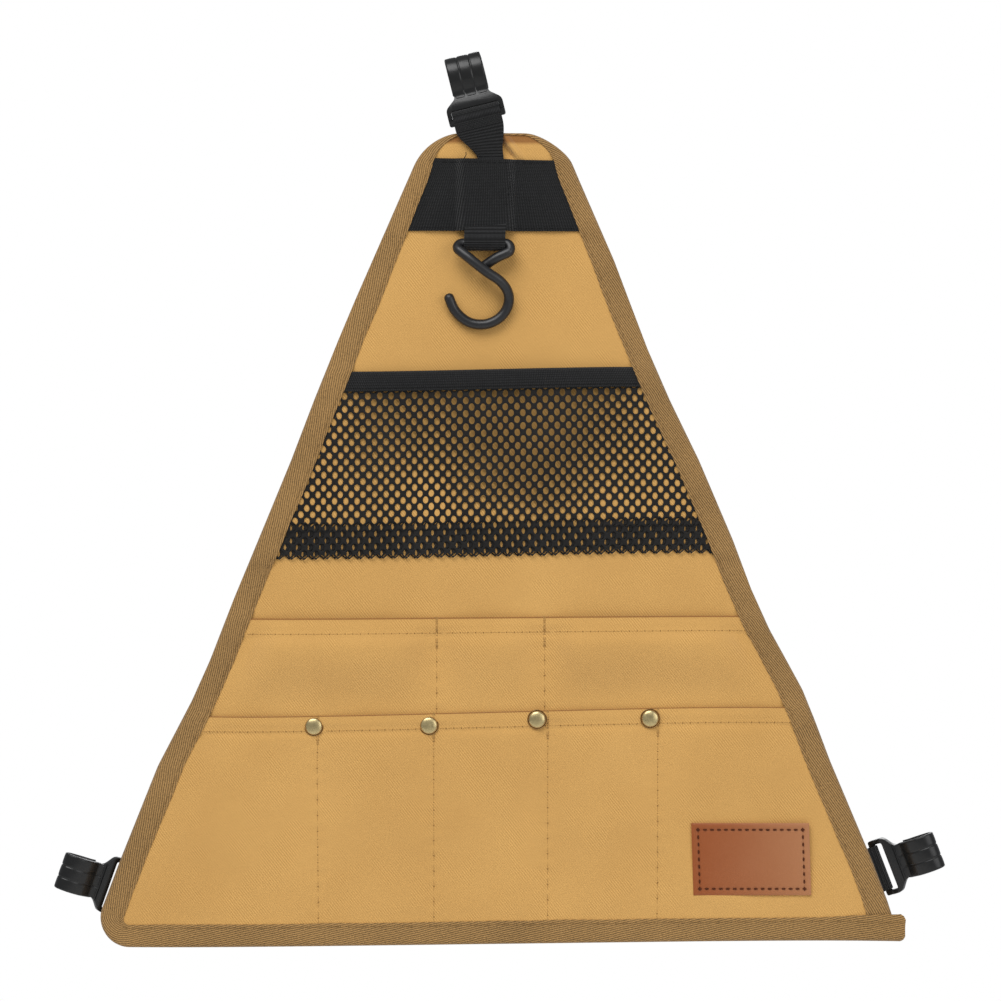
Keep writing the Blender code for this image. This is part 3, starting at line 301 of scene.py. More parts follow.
def relief(x, drop):
    """The gentle waves of the hanging cloth, dying out at the bound edge."""
    inward = min(half_width(drop) - abs(x), drop + 0.004, PANEL_HEIGHT - drop + 0.002)
    share = smoothstep(0.004, 0.045, inward)
    waves = 0.0015 * soft_noise(x, drop, 0.085, 1.7) + 0.0006 * soft_noise(x, drop, 0.032, 8.1)
    ridge = 0.0042 + 0.75 * max(drop, 0.0)
    held = smoothstep(-0.001, 0.003, drop) * (1 - smoothstep(0.011, 0.0155, drop))
    pleat = 0.0020 * bump(ridge, 0.0038, x) * held
    hollow = 0.0017 * bump(ridge - 0.0048, 0.0042, x) * held
    return share * waves + pleat - hollow


def settle(point):
    """Takes a flat cloth's place (across, in front, down) to where the hanging cloth lies."""
    x, y, drop = point
    reach = x / max(half_width(drop), 0.02)
    shift = edge_shift(1 if x > 0 else -1, drop) * reach * abs(reach)
    return at(x + shift, y + relief(x, drop), drop - tilt(drop) * x * (1 - 0.5 * abs(reach) ** 4))


# Meshes

def new_object(name, mesh):
    thing = bpy.data.objects.new(name, mesh)
    bpy.context.scene.collection.objects.link(thing)
    return thing


def mesh_object(name, shell):
    """An object from a finished bmesh."""
    mesh = bpy.data.meshes.new(name)
    shell.to_mesh(mesh)
    shell.free()
    return new_object(name, mesh)


def point_mesh(name, points, edges=()):
    mesh = bpy.data.meshes.new(name)
    mesh.from_pydata([tuple(point) for point in points], edges, [])
    return mesh


def apply_modifiers(thing):
    """Turns an object with its modifiers into a plain mesh."""
    graph = bpy.context.evaluated_depsgraph_get()
    mesh = bpy.data.meshes.new_from_object(thing.evaluated_get(graph))
    mesh.name = thing.name
    thing.modifiers.clear()
    thing.data = mesh


def finish_piece(thing, material=None, replaced=(), angle=40, body="panel"):
    """Gives a finished mesh its material and shading, and hangs it on its body."""
    mesh = thing.data
    if material:
        mesh.materials.clear()
        mesh.materials.append(bpy.data.materials[material])
    mesh.shade_smooth()
    mesh.set_sharp_from_angle(angle=math.radians(angle))
    if replaced:
        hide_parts(*replaced)
    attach(thing, body)


def soften(thing, width, segments, angle):
    """Rounds every edge that is sharper than an angle in degrees."""
    bevel = thing.modifiers.new("soft_edges", "BEVEL")
    bevel.width, bevel.segments = width, segments
    bevel.limit_method, bevel.angle_limit = "ANGLE", math.radians(angle)


def grid_piece(name, columns, rows, place, thickness, offset=0.0, lengths=(1.0, 1.0), round_edge=0.0, measure=None):
    """A cloth from a grid: place(u, v) gives each point of the unit square. Its UV map has the given
    lengths, or comes from measure(u, v) where the grid's steps are uneven."""
    sheet = bmesh.new()
    bmesh.ops.create_grid(sheet, x_segments=columns, y_segments=rows, size=0.5, calc_uvs=True)
    layer = sheet.loops.layers.uv.verify()
    for vertex in sheet.verts:
        u, v = vertex.co.x + 0.5, vertex.co.y + 0.5
        uv = measure(u, v) if measure else (u * lengths[0], v * lengths[1])
        for loop in vertex.link_loops:
            loop[layer].uv = uv
        vertex.co = place(u, v)
    thing = mesh_object(name, sheet)
    solid = thing.modifiers.new("thickness", "SOLIDIFY")
    solid.thickness, solid.offset, solid.use_even_offset = thickness, offset, True
    if round_edge:
        soften(thing, round_edge, 2, 60)
    apply_modifiers(thing)
    return thing


def join_rings(shell, rings, capped=True):
    """Faces from ring to ring, where a ring of one point is a pole, and a cap at each end."""
    sides = max(len(ring) for ring in rings)
    for start, end in zip(rings, rings[1:]):
        for i in range(sides):
            corners = ((start, i), (start, i + 1), (end, i + 1), (end, i))
            shell.faces.new(list(dict.fromkeys(ring[j % len(ring)] for ring, j in corners)))
    if capped:
        shell.faces.new(rings[0][::-1])
        shell.faces.new(rings[-1])
    bmesh.ops.recalc_face_normals(shell, faces=shell.faces)


def heading(points, index):
    """The direction of a line at one of its points."""
    return (points[min(index + 1, len(points) - 1)] - points[max(index - 1, 0)]).normalized()


def tube_piece(name, points, radius, sides):
    """A closed round tube along points, with domed ends."""
    stations = []
    up = FRONT
    for index, point in enumerate(points):
        ahead = heading(points, index)
        across = ahead.cross(up).normalized()
        up = across.cross(ahead).normalized()
        stations.append((point, ahead, across, up, radius))

    def dome(station, outward, steps):
        point, ahead, across, up, _ = station
        return [
            (point + ahead * radius * step * outward, ahead, across, up, radius * math.sqrt(1 - step * step))
            for step in steps
        ]

    steps = (0.95, 0.75, 0.4)
    stations = dome(stations[0], -0.9, steps) + stations + dome(stations[-1], 0.9, steps[::-1])
    turns = [math.tau * side / sides for side in range(sides)]
    shell = bmesh.new()
    rings = [
        [shell.verts.new(point + (across * math.cos(turn) + up * math.sin(turn)) * size) for turn in turns]
        for point, _, across, up, size in stations
    ]
    join_rings(shell, rings)
    layer = shell.loops.layers.uv.verify()
    for vertex in shell.verts:
        for loop in vertex.link_loops:
            loop[layer].uv = (vertex.co.x, vertex.co.z)
    return mesh_object(name, shell)


def smooth_path(points, steps):
    """A smooth line through points, with a few steps between each two."""
    points = [Vector(point) for point in points]
    path = []
    for index in range(len(points) - 1):
        before = points[max(index - 1, 0)]
        start, end = points[index], points[index + 1]
        after = points[min(index + 2, len(points) - 1)]
        span = (end - start).length
        leaving = (end - before) * span / ((start - before).length + span)
        arriving = (after - start) * span / ((after - end).length + span)
        for step in range(steps):
            t = step / steps
            bent = start + (end - start) * t * t * (3 - 2 * t)
            path.append(bent + leaving * t * (1 - t) ** 2 - arriving * t * t * (1 - t))
    path.append(points[-1])
    return path


# Materials

def feed(tree, socket, value):
    """Gives an input a plain value, a socket to link, or a node, whose first output is linked."""
    if isinstance(value, bpy.types.Node):
        value = value.outputs[0]
    if isinstance(value, bpy.types.NodeSocket):
        tree.links.new(value, socket)
    else:
        socket.default_value = (*value, 1) if socket.type == "RGBA" and len(value) == 3 else value


def add_node(tree, kind, settings=None, **inputs):
    """A node with its properties in settings and its inputs by name."""
    node = tree.nodes.new(kind)
    for key, value in (settings or {}).items():
        setattr(node, key, value)
    for key, value in inputs.items():
        named = [socket for socket in node.inputs if socket.name == key.replace("_", " ")]
        feed(tree, next((socket for socket in named if socket.enabled), named[0]), value)
    return node


def new_material(name, colour, roughness, specular=0.5, metallic=0.0, sheen=0.0):
    material = bpy.data.materials.new(name)
    material.use_nodes = True
    tree = material.node_tree
    shader = tree.nodes["Principled BSDF"]
    dress(tree, shader, Base_Color=colour, Roughness=roughness, Metallic=metallic, Sheen_Weight=sheen)
    feed(tree, shader.inputs["Specular IOR Level"], specular)
    return tree, shader


def dress(tree, shader, grain=None, **inputs):
    """Gives a shader its inputs by name, and its grain from (height, distance, strength)."""
    if grain:
        height, distance, strength = grain
        inputs["Normal"] = add_node(tree, "ShaderNodeBump", Strength=strength, Distance=distance, Height=height)
    for key, value in inputs.items():
        feed(tree, shader.inputs[key.replace("_", " ")], value)


def mapped(tree, source, scale=(1, 1, 1), turn=0):
    """Texture coordinates, scaled and turned by degrees in the cloth's plane."""
    place = tree.nodes.new("ShaderNodeTexCoord").outputs[source]
    turn = math.radians(turn)
    rotation = (0, turn, 0) if source == "Object" else (0, 0, turn)
    return add_node(tree, "ShaderNodeMapping", Vector=place, Scale=scale, Rotation=rotation).outputs["Vector"]


def math_node(tree, operation, *values):
    node = add_node(tree, "ShaderNodeMath", {"operation": operation})
    for socket, value in zip(node.inputs, values):
        feed(tree, socket, value)
    return node.outputs[0]


def weighted(tree, total, *terms):
    """A first value with others added to it, each times its weight."""
    for value, weight in terms:
        total = math_node(tree, "MULTIPLY_ADD", value, weight, total)
    return total


def map_range(tree, value, low, high, **ends):
    return add_node(tree, "ShaderNodeMapRange", Value=value, From_Min=low, From_Max=high, **ends).outputs["Result"]


def noise_value(tree, place, scale, detail=2.0, roughness=0.5):
    node = add_node(tree, "ShaderNodeTexNoise", Vector=place, Scale=scale, Detail=detail, Roughness=roughness)
    return node.outputs["Fac"]


def wave_value(tree, place, spacing, distortion, detail=2.0, detail_scale=1.0, direction="X"):
    """Straight waves, a given spacing apart."""
    node = add_node(
        tree, "ShaderNodeTexWave", {"wave_type": "BANDS", "bands_direction": direction}, Vector=place,
        Scale=math.tau / spacing / 20, Distortion=distortion, Detail=detail, Detail_Scale=detail_scale,
    )
    return node.outputs["Fac"]


def mix_colour(tree, share, first, second):
    node = add_node(tree, "ShaderNodeMix", {"data_type": "RGBA"})
    for index, value in ((0, share), (6, first), (7, second)):
        feed(tree, node.inputs[index], value)
    return node.outputs[2]


def tinted(colour, *shares):
    """A colour with each channel times its share, or all times one share."""
    return tuple(min(c * share, 1) for c, share in zip(colour, shares if len(shares) == 3 else shares * 3))


def canvas_material(settings):
    """Twill canvas: steep fine diagonals, uneven dye, a slight fuzz, and painted shade: a dark line along the fold at a
    cloth's top, for the shadow in a pocket mouth's gap.
    """
    colour = tuple(settings.colour)
    tree, shader = new_material("tan_canvas_finish", colour, 0.92, specular=0.2, sheen=0.25)
    feed(tree, shader.inputs["Sheen Roughness"], 0.6)
    place = mapped(tree, "Object")
    twill = wave_value(tree, mapped(tree, "Object", turn=38), settings.twill, 0.6, 1.0, 2.0)
    weft = wave_value(tree, mapped(tree, "Object", turn=-46), settings.twill * 0.8, 1.0, 1.0)
    slub = noise_value(tree, mapped(tree, "Object", (30, 30, 260)), 14.0, 3.0)
    dye = noise_value(tree, place, 16.0, 4.0, 0.55)
    fuzz = noise_value(tree, place, 1800.0)
    wear_and_rim_shade = noise_value(tree, place, 55.0, 3.0)
    lines = weighted(tree, -0.31, (twill, 0.62))
    lines_seen = math_node(tree, "ADD", map_range(tree, wear_and_rim_shade, 0.48, 0.60), 0.12)
    share = weighted(tree, 0.03, (lines, lines_seen), (dye, 0.55), (slub, 0.25), (fuzz, 0.25))
    cloth = mix_colour(tree, share, tinted(colour, 0.76, 0.70, 0.60), tinted(colour, 1.16, 1.19, 1.22))
    # Painted shade: the topmost strip of each cloth's UV height turns dark, standing for the shadow in a pocket mouth's
    # gap.
    up = add_node(tree, "ShaderNodeSeparateXYZ", Vector=mapped(tree, "UV")).outputs["Y"]
    fold = mix_colour(tree, map_range(tree, up, 0.9785, 0.9850), cloth, tinted(colour, 0.50, 0.38, 0.30))
    dress(tree, shader, (weighted(tree, twill, (weft, 0.5), (fuzz, 0.6)), 0.00012, 0.55), Base_Color=fold)


def tape_material(settings):
    """Twill tape: strong diagonal ribs along the tape's own length."""
    colour = tuple(settings.colour)
    tree, shader = new_material("brown_tape_finish", colour, 0.88, specular=0.2, sheen=0.15)
    ribs = wave_value(tree, mapped(tree, "UV", turn=77), settings.rib, 0.5, 2.0, 3.0)
    fibre = noise_value(tree, mapped(tree, "UV"), 900.0, 3.0)
    patchy = noise_value(tree, mapped(tree, "Object"), 22.0, 3.0)
    share = weighted(tree, -0.36, (ribs, 0.62), (patchy, 0.30), (fibre, 0.70))
    dyed = mix_colour(tree, share, tinted(colour, 0.30), tinted(colour, 1.68))
    dress(tree, shader, (weighted(tree, ribs, (fibre, 0.4)), 0.00036, 0.9), Base_Color=dyed)


def webbing_material(settings, name="black_webbing_finish", rib=None):
    """Webbing: rounded ribs across its length with fine threads along it."""
    colour = tuple(settings.colour)
    tree, shader = new_material(name, colour, 0.80, specular=0.25, sheen=0.10)
    place = mapped(tree, "UV")
    ribs = wave_value(tree, place, rib or settings.rib, 0.25, 1.0)
    threads = wave_value(tree, place, 0.0008, 0.3, direction="Y")
    patchy = noise_value(tree, place, 260.0, 3.0)
    share = math_node(tree, "MULTIPLY", ribs, threads)
    share = math_node(tree, "MULTIPLY", share, math_node(tree, "ADD", patchy, 0.35))
    dyed = mix_colour(tree, share, tinted(colour, 0.25), tinted(colour, 2.8))
    dress(tree, shader, (weighted(tree, ribs, (threads, 0.35)), 0.0006, 1.0), Base_Color=dyed)


def net_material(settings):
    colour = tuple(settings.colour)
    tree, shader = new_material("black_net_finish", colour, 0.75, specular=0.2, sheen=0.04)
    place = mapped(tree, "Object")
    strands = noise_value(tree, place, 1500.0, 3.0)
    share = math_node(tree, "MULTIPLY", strands, noise_value(tree, place, 30.0))
    dyed = mix_colour(tree, share, tinted(colour, 0.5), tinted(colour, 3.2))
    dress(tree, shader, (strands, 0.0003, 0.9), Base_Color=dyed)


def thread_material(name, colour):
    tree, shader = new_material(name, colour, 0.85, specular=0.2)
    twist = noise_value(tree, mapped(tree, "Object"), 2500.0, 1.0)
    dress(tree, shader, (twist, 0.0001, 0.6), Base_Color=mix_colour(tree, twist, tinted(colour, 0.6), colour))


def plastic_material(settings):
    """Moulded nylon: black, satin, with a faint sparked grain."""
    tree, shader = new_material("black_nylon_finish", tuple(settings.plastic), 0.34, specular=0.4)
    place = mapped(tree, "Object")
    rough = weighted(tree, 0.22, (noise_value(tree, place, 90.0, 4.0), 0.16))
    dress(tree, shader, (noise_value(tree, place, 1400.0), 0.00006, 0.5), Roughness=rough)


def wire_material(settings):
    tree, shader = new_material("black_coated_wire_finish", tuple(settings.wire), 0.36)
    place = mapped(tree, "Object")
    rough = weighted(tree, 0.26, (noise_value(tree, place, 70.0, 3.0), 0.25))
    dress(tree, shader, (noise_value(tree, place, 900.0, 3.0), 0.00008, 0.5), Roughness=rough)


def brass_material(settings):
    """Antique brass: a bright dome with tarnish in patches, and painted shade that darkens it towards its rim."""
    colour = tuple(settings.brass)
    tree, shader = new_material("antique_brass_finish", colour, 0.30, metallic=1.0)
    tarnish = noise_value(tree, mapped(tree, "Object"), 420.0, 5.0)
    reach = add_node(tree, "ShaderNodeAttribute", {"attribute_name": "reach"}).outputs["Fac"]
    face = mix_colour(tree, tarnish, tinted(colour, 0.62), colour)
    # Painted shade: the colour turns dark brown towards the rim, by how far each point lies from the head's middle.
    wear_and_rim_shade = mix_colour(tree, map_range(tree, reach, 0.74, 0.90), face, (0.40, 0.27, 0.125))
    dress(tree, shader, Base_Color=wear_and_rim_shade, Roughness=weighted(tree, 0.24, (tarnish, 0.20)))


def leather_material(settings):
    """Smooth brown leather with a fine pebbled grain, an uneven tone in clouds and specks, and a painted sheen that
    makes it lighter and paler to the right.
    """
    colour = tuple(settings.colour)
    tree, shader = new_material("brown_leather_finish", colour, 0.48, specular=0.45)
    place = mapped(tree, "Object")
    pebbles = add_node(tree, "ShaderNodeTexVoronoi", {"feature": "DISTANCE_TO_EDGE"}, Vector=place, Scale=900.0)
    clouds = noise_value(tree, place, 26.0, 4.0)
    speck = noise_value(tree, place, 500.0, 3.0)
    across = add_node(tree, "ShaderNodeSeparateXYZ", Vector=mapped(tree, "UV")).outputs["X"]
    # Painted sheen: the colour grows lighter and paler across the patch towards its right edge; the clouds and specks
    # are the leather's own uneven tone.
    share = weighted(tree, -0.18, (clouds, 0.26), (speck, 0.10), (math_node(tree, "POWER", across, 1.4), 1.0))
    dyed = mix_colour(tree, share, tinted(colour, 0.88, 0.70, 0.48), tinted(colour, 1.22, 1.64, 2.7))
    grain = math_node(tree, "MINIMUM", pebbles, 0.22)
    dress(tree, shader, (grain, 0.0003, 0.35), Base_Color=dyed, Roughness=weighted(tree, 0.34, (clouds, 0.2)))


# Geometry Nodes

def new_node_tree(name, inputs):
    """A Geometry Nodes tree with its inputs by name: their kind and, for a number, its default."""
    tree = bpy.data.node_groups.new(name, "GeometryNodeTree")
    tree.interface.new_socket("Geometry", in_out="INPUT", socket_type="NodeSocketGeometry")
    for label, (kind, *default) in inputs.items():
        socket = tree.interface.new_socket(label, in_out="INPUT", socket_type=f"NodeSocket{kind}")
        if default:
            socket.default_value = default[0]
    tree.interface.new_socket("Geometry", in_out="OUTPUT", socket_type="NodeSocketGeometry")
    return tree, tree.nodes.new("NodeGroupInput").outputs


def close_tree(tree, geometry):
    feed(tree, tree.nodes.new("NodeGroupOutput").inputs["Geometry"], geometry)
    return tree


def run_tree(name, source, tree, values):
    """Runs a tree on a mesh and keeps its result as a plain mesh object."""
    holder = new_object(name, source)
    modifier = holder.modifiers.new(tree.name, "NODES")
    modifier.node_group = tree
    for item in tree.interface.items_tree:
        if item.name in values:
            modifier[item.identifier] = values[item.name]
    holder.update_tag()
    bpy.context.view_layer.update()
    apply_modifiers(holder)
    bpy.data.meshes.remove(source)
    return holder


def stitch_tree():
    """Stitches along paths: a rounded thread from hole to hole, with a flat disc of painted shade for the needle hole
    between.
    """
    tree, given = new_node_tree(
        "stitch_runs",
        {
            "Pitch": ("Float", 0.004), "Thread Length": ("Float", 0.0028), "Thread Radius": ("Float", 0.0003),
            "Hole Radius": ("Float", 0.0004), "Thread": ("Material",), "Hole": ("Material",),
        },
    )

    def shape(rings, size, place, material):
        """A small sphere, scaled, shifted and with its material."""
        ball = add_node(tree, "GeometryNodeMeshUVSphere", Segments=8, Rings=rings, Radius=1.0)
        ball = add_node(tree, "GeometryNodeTransform", Geometry=ball, Scale=size, Translation=place)
        return add_node(tree, "GeometryNodeSetMaterial", Geometry=ball, Material=material)

    def xyz(x=0.0, y=0.0, z=0.0):
        return add_node(tree, "ShaderNodeCombineXYZ", X=x, Y=y, Z=z)

    curve = add_node(tree, "GeometryNodeMeshToCurve", Mesh=given["Geometry"])
    spaced = add_node(tree, "GeometryNodeResampleCurve", {"mode": "LENGTH"}, Curve=curve, Length=given["Pitch"])
    facing = add_node(tree, "GeometryNodeInputNamedAttribute", {"data_type": "FLOAT_VECTOR"}, Name="facing")
    tangent = tree.nodes.new("GeometryNodeInputTangent")
    lay = add_node(tree, "FunctionNodeAlignRotationToVector", {"axis": "X"}, Vector=tangent)
    turn = add_node(
        tree, "FunctionNodeAlignRotationToVector", {"axis": "Z", "pivot_axis": "X"}, Rotation=lay, Vector=facing
    )
    half_length = math_node(tree, "MULTIPLY", given["Thread Length"], 0.5)
    half_pitch = math_node(tree, "MULTIPLY", given["Pitch"], 0.5)
    radius, hole = given["Thread Radius"], given["Hole Radius"]
    thread_shape = shape(5, xyz(half_length, radius, radius), (0, 0, 0), given["Thread"])
    # The needle hole is a flat disc in the hole's material: painted shade on tan cloth and leather, and the thread's
    # own black on webbing and net.
    hole_shade_shape = shape(4, xyz(hole, hole, 0.00016), xyz(half_pitch), given["Hole"])
    both = add_node(tree, "GeometryNodeJoinGeometry", Geometry=thread_shape)
    feed(tree, both.inputs["Geometry"], hole_shade_shape)
    stitches = add_node(tree, "GeometryNodeInstanceOnPoints", Points=spaced, Instance=both, Rotation=turn)
    return close_tree(tree, add_node(tree, "GeometryNodeRealizeInstances", Geometry=stitches))


def lattice_tree(name):
    """Copies of one shape on points, welded where they meet."""
    tree, given = new_node_tree(name, {"Shape": ("Object",), "Weld": ("Float", 0.00002), "Finish": ("Material",)})
    shape = add_node(tree, "GeometryNodeObjectInfo", Object=given["Shape"]).outputs["Geometry"]
    copies = add_node(tree, "GeometryNodeInstanceOnPoints", Points=given["Geometry"], Instance=shape)
    real = add_node(tree, "GeometryNodeRealizeInstances", Geometry=copies)
    welded = add_node(tree, "GeometryNodeMergeByDistance", Geometry=real, Distance=given["Weld"])
    return close_tree(tree, add_node(tree, "GeometryNodeSetMaterial", Geometry=welded, Material=given["Finish"]))


def make_stitches(name, paths, thread, hole, sizes, facings=None):
    """All stitches of one seam group along open paths. Sizes are the pitch, the thread's length and radius,
    and the needle hole's radius. The stitches face forward, or as facings says for each path."""
    points, edges, looks = [], [], []
    for path, facing in zip(paths, facings or [FRONT] * len(paths)):
        edges += [(i, i + 1) for i in range(len(points), len(points) + len(path) - 1)]
        points += path
        looks += [facing] * len(path)
    source = point_mesh(name, points, edges)
    attribute = source.attributes.new("facing", "FLOAT_VECTOR", "POINT")
    attribute.data.foreach_set("vector", np.array(looks, dtype=np.float32).ravel())
    values = dict(zip(("Pitch", "Thread Length", "Thread Radius", "Hole Radius"), sizes))
    values |= {"Thread": bpy.data.materials[thread], "Hole": bpy.data.materials[hole]}
    tree = bpy.data.node_groups.get("stitch_runs") or stitch_tree()
    finish_piece(run_tree(name, source, tree, values))


# Rim of the panel

def rim():
    """The panel's rim from the lower right corner round to it again, as points and inward normals."""
    bottom, top = PANEL_BOTTOM_WIDTH / 2, PANEL_TOP_WIDTH / 2
    corners = ((bottom, PANEL_HEIGHT), (-bottom, PANEL_HEIGHT), (-top, 0.0), (top, 0.0), (bottom, PANEL_HEIGHT))
    corners = [Vector(corner) for corner in corners]
    points = []

    def run_to(start, end):
        steps = max(2, int((end - start).length / TAPE_STEP))
        points.extend(start.lerp(end, i / steps) for i in range(steps))

    last = corners[0]
    for index, radius in enumerate((PANEL_LEFT_RADIUS, PANEL_TOP_RADIUS, PANEL_TOP_RADIUS), 1):
        here = corners[index]
        to_last = (corners[index - 1] - here).normalized()
        to_next = (corners[index + 1] - here).normalized()
        half = to_last.angle(to_next) / 2
        reach = radius / math.tan(half)
        centre = here + (to_last + to_next).normalized() * radius / math.sin(half)
        start_turn, end_turn = here + to_last * reach - centre, here + to_next * reach - centre
        sweep = start_turn.angle_signed(end_turn)
        steps = max(4, int(abs(sweep) * radius / (TAPE_STEP * 0.5)))
        arc = [centre + Matrix.Rotation(-sweep * i / steps, 2) @ start_turn for i in range(steps + 1)]
        run_to(last, here + to_last * reach)
        points += arc[:-1]
        last = arc[-1]
    run_to(last, corners[-1])
    points.append(corners[-1])
    aheads = [heading(points, index) for index in range(len(points))]
    return [(point, Vector((-ahead.y, ahead.x))) for point, ahead in zip(points, aheads)]


def under_tape(drop):
    """How far the layers under the tape's front flap lift it."""
    ramp = 0.005
    return sum(
        rise * smoothstep(start - ramp, start - 0.0005, drop) * (1 - smoothstep(end + 0.0005, end + ramp, drop))
        for start, end, rise in TAPE_RISES
    )


def tape_width(drop, along):
    """The tape's visible front width: it turns out of sight over the rounded top."""
    return between(TAPE_WIDTHS, drop) * (1 + 0.035 * soft_noise(along, 0.3, 0.02, 4.4))


def cloth_x(u, drop, inset):
    """A place across the panel, from rim to rim moved in by an inset."""
    left, right = rim_x(-1, drop, inset), rim_x(1, drop, inset)
    return left + (right - left) * u


def seam_row(drop, steps):
    """Places of a seam that runs across the panel."""
    reach = half_width(drop, SEAM_INSET)
    return [(2 * i / steps - 1) * reach for i in range(steps + 1)]


# Pieces

def make_canvas():
    """The back panel: one hanging sheet of canvas."""
    margin = 0.0006

    def place(u, v):
        share = 0.6 * (1 - v) + 0.4 * (0.5 - 0.5 * math.cos(math.pi * (1 - v)))
        drop = margin + share * (PANEL_HEIGHT - 2 * margin)
        return settle((cloth_x(u, drop, margin), 0, drop))

    panel = grid_piece("canvas_panel", 120, 170, place, CANVAS_THICK)
    finish_piece(panel, "tan_canvas_finish", ["back_panel"])


def end_overlap(along):
    """How far the tape's start stands off on each face, where it lies over the tape's end."""
    return 0.0009 * (1 - smoothstep(0.019, 0.030, along))


def tape_section(drop, along):
    """The tape's cross-section from its front flap to its back: how far in from the rim and how far forward."""
    front = tape_width(drop, along) * (1 + 0.20 * (1 - smoothstep(0.008, 0.050, along)))
    back = TAPE_FLAP + 0.0004 * soft_noise(along, 0.8, 0.03, 2.2)
    over = end_overlap(along)
    pucker = 0.00010 * math.sin(along / 0.0021) + 0.00016 * soft_noise(along, 0.1, 0.011, 5.1)
    face = TAPE_FRONT + 0.0001 + under_tape(drop) + over + pucker
    rear = 0.00112 + over
    return [
        (front, face - 0.00030),
        (front * 0.93, face),
        *((front * share, face + 0.00005) for share in (0.80, 0.66, 0.52, 0.38)),
        (min(0.003, front * 0.30), face * 0.98),
        (min(0.0013, front * 0.22), face * 0.88),
        (min(0.0005, front * 0.14), face * 0.62),
        (0.0001, face * 0.28),
        (0, 0),
        (0.0001, -rear * 0.35),
        (0.0005, -rear * 0.70),
        (0.0013, -rear * 0.90),
        (0.003, -rear * 0.97),
        *((back * share, -rear) for share in (0.40, 0.55, 0.70, 0.84)),
        (back * 0.94, -rear * 0.95),
        (back, -rear * 0.72),
    ]


def make_binding():
    """The twill tape folded over the rim, its two flaps joined by a rounded fold. Its square-cut start
    lies over its end at the lower right corner."""
    stations = rim()
    begin, normal = stations[0]
    begin = begin + Vector((0.0015, 0))
    extra = [(begin.lerp(stations[1][0], share), normal) for share in (0, 0.10, 0.22, 0.40, 0.70)]
    stations[:1] = extra
    while (stations[-1][0] + stations[-1][1] * TAPE_HOLD).y > PANEL_HEIGHT - 0.0010:
        stations.pop()
    lengths = [0.0]
    for (a, _), (b, _) in zip(stations, stations[1:]):
        lengths.append(lengths[-1] + (b - a).length)
    sections = [tape_section(point.y, along) for (point, _), along in zip(stations, lengths)]
    last = len(sections[0]) - 1
    fold = last // 2

    def station_row(u, v):
        return round(u * (len(stations) - 1)), round(v * last)

    def place(u, v):
        index, row = station_row(u, v)
        point, normal = stations[index]
        inward, y = sections[index][row]
        flat = point + normal * inward
        if row < fold and inward > 0.0032:
            y += under_tape(flat.y) - under_tape(point.y)
        corner = min(inward, max(reach for reach, _ in sections[index]) - inward)
        short = max(0.0, TAPE_END_ROUND - corner) ** 2 / TAPE_END_ROUND
        flat.x -= short * max(0.0, 1 - lengths[index] / 0.005)
        return settle((flat.x, y, flat.y))

    def measure(u, v):
        index, row = station_row(u, v)
        run = sections[index][min(row, fold):max(row, fold) + 1]
        across = sum(math.dist(a, b) for a, b in zip(run, run[1:]))
        return lengths[index], across if row > fold else -across

    tape = grid_piece("edge_binding", len(stations) - 1, last, place, 0.0005, -1.0, measure=measure)
    finish_piece(tape, "brown_tape_finish", ["edge_tape"], 60)
    seams, looks = [], []
    for facing in (FRONT, BACK):
        front = facing is FRONT
        runs = [[]]
        for (point, normal), along in zip(stations, lengths):
            width = tape_width(point.y, along) if front else TAPE_FLAP
            flat = point + normal * (width - TAPE_SEAM)
            if along < 0.0012 or along > lengths[-1] - 0.010 or (front and width < 0.006):
                runs.append([])
                continue
            over = end_overlap(along)
            y = TAPE_FRONT + under_tape(flat.y) + over + 0.00018 if front else -0.00118 - over
            runs[-1].append(settle((flat.x, y, flat.y)))
        runs = [run for run in runs if len(run) > 2]
        seams += runs
        looks += [facing] * len(runs)
    sizes = (0.0034, 0.0026, 0.00020, 0.00026)
    make_stitches("binding_stitches", seams, "brown_thread", "needle_hole", sizes, looks)


def pocket_front(x, drop, pocket):
    """How far a pocket's cloth stands off the one behind it."""
    edge = half_width(drop, FREE_INSET)
    seams = [-edge, *pocket.dividers, edge]
    for left, right in zip(seams, seams[1:]):
        if left <= x <= right:
            width = right - left
            share = smoothstep(0.0006, min(0.022, width * 0.42), min(x - left, right - x))
            down = max(drop - pocket.mouth, 0.0)
            belly = 0.22 + 0.78 * smoothstep(0.0, 0.016, down)
            profile = belly * (1 - smoothstep(0.015, pocket.fall, down))
            return pocket.bulge * profile * min(1.0, width / 0.07) * share
    return 0.0


def pocket_surface(pocket, x, drop):
    """How far the middle of a pocket's cloth lies in front of the middle of the canvas."""
    hem = pocket.mouth + HEM
    wave = 0.0004 * soft_noise(x, drop, 0.028, pocket.seed) + 0.0005 * soft_noise(x, drop, 0.06, pocket.seed + 3)
    near = sum(bump(seam, 0.0045, x) for seam in pocket.dividers)
    pucker = 0.00016 * math.sin(drop / 0.0013) * sum(bump(seam, 0.0070, x) for seam in pocket.dividers)
    hem_step = 0.0005 * (1 - smoothstep(hem - 0.0004, hem + 0.0006, drop))
    dip = 0.0007 * bump(hem - 0.0008, 0.0046, drop)
    off = pocket_front(x, drop, pocket)
    return pocket.layer + hem_step + freedom(x, drop) * (0.0003 + off + wave + pucker - 0.0004 * near - dip)


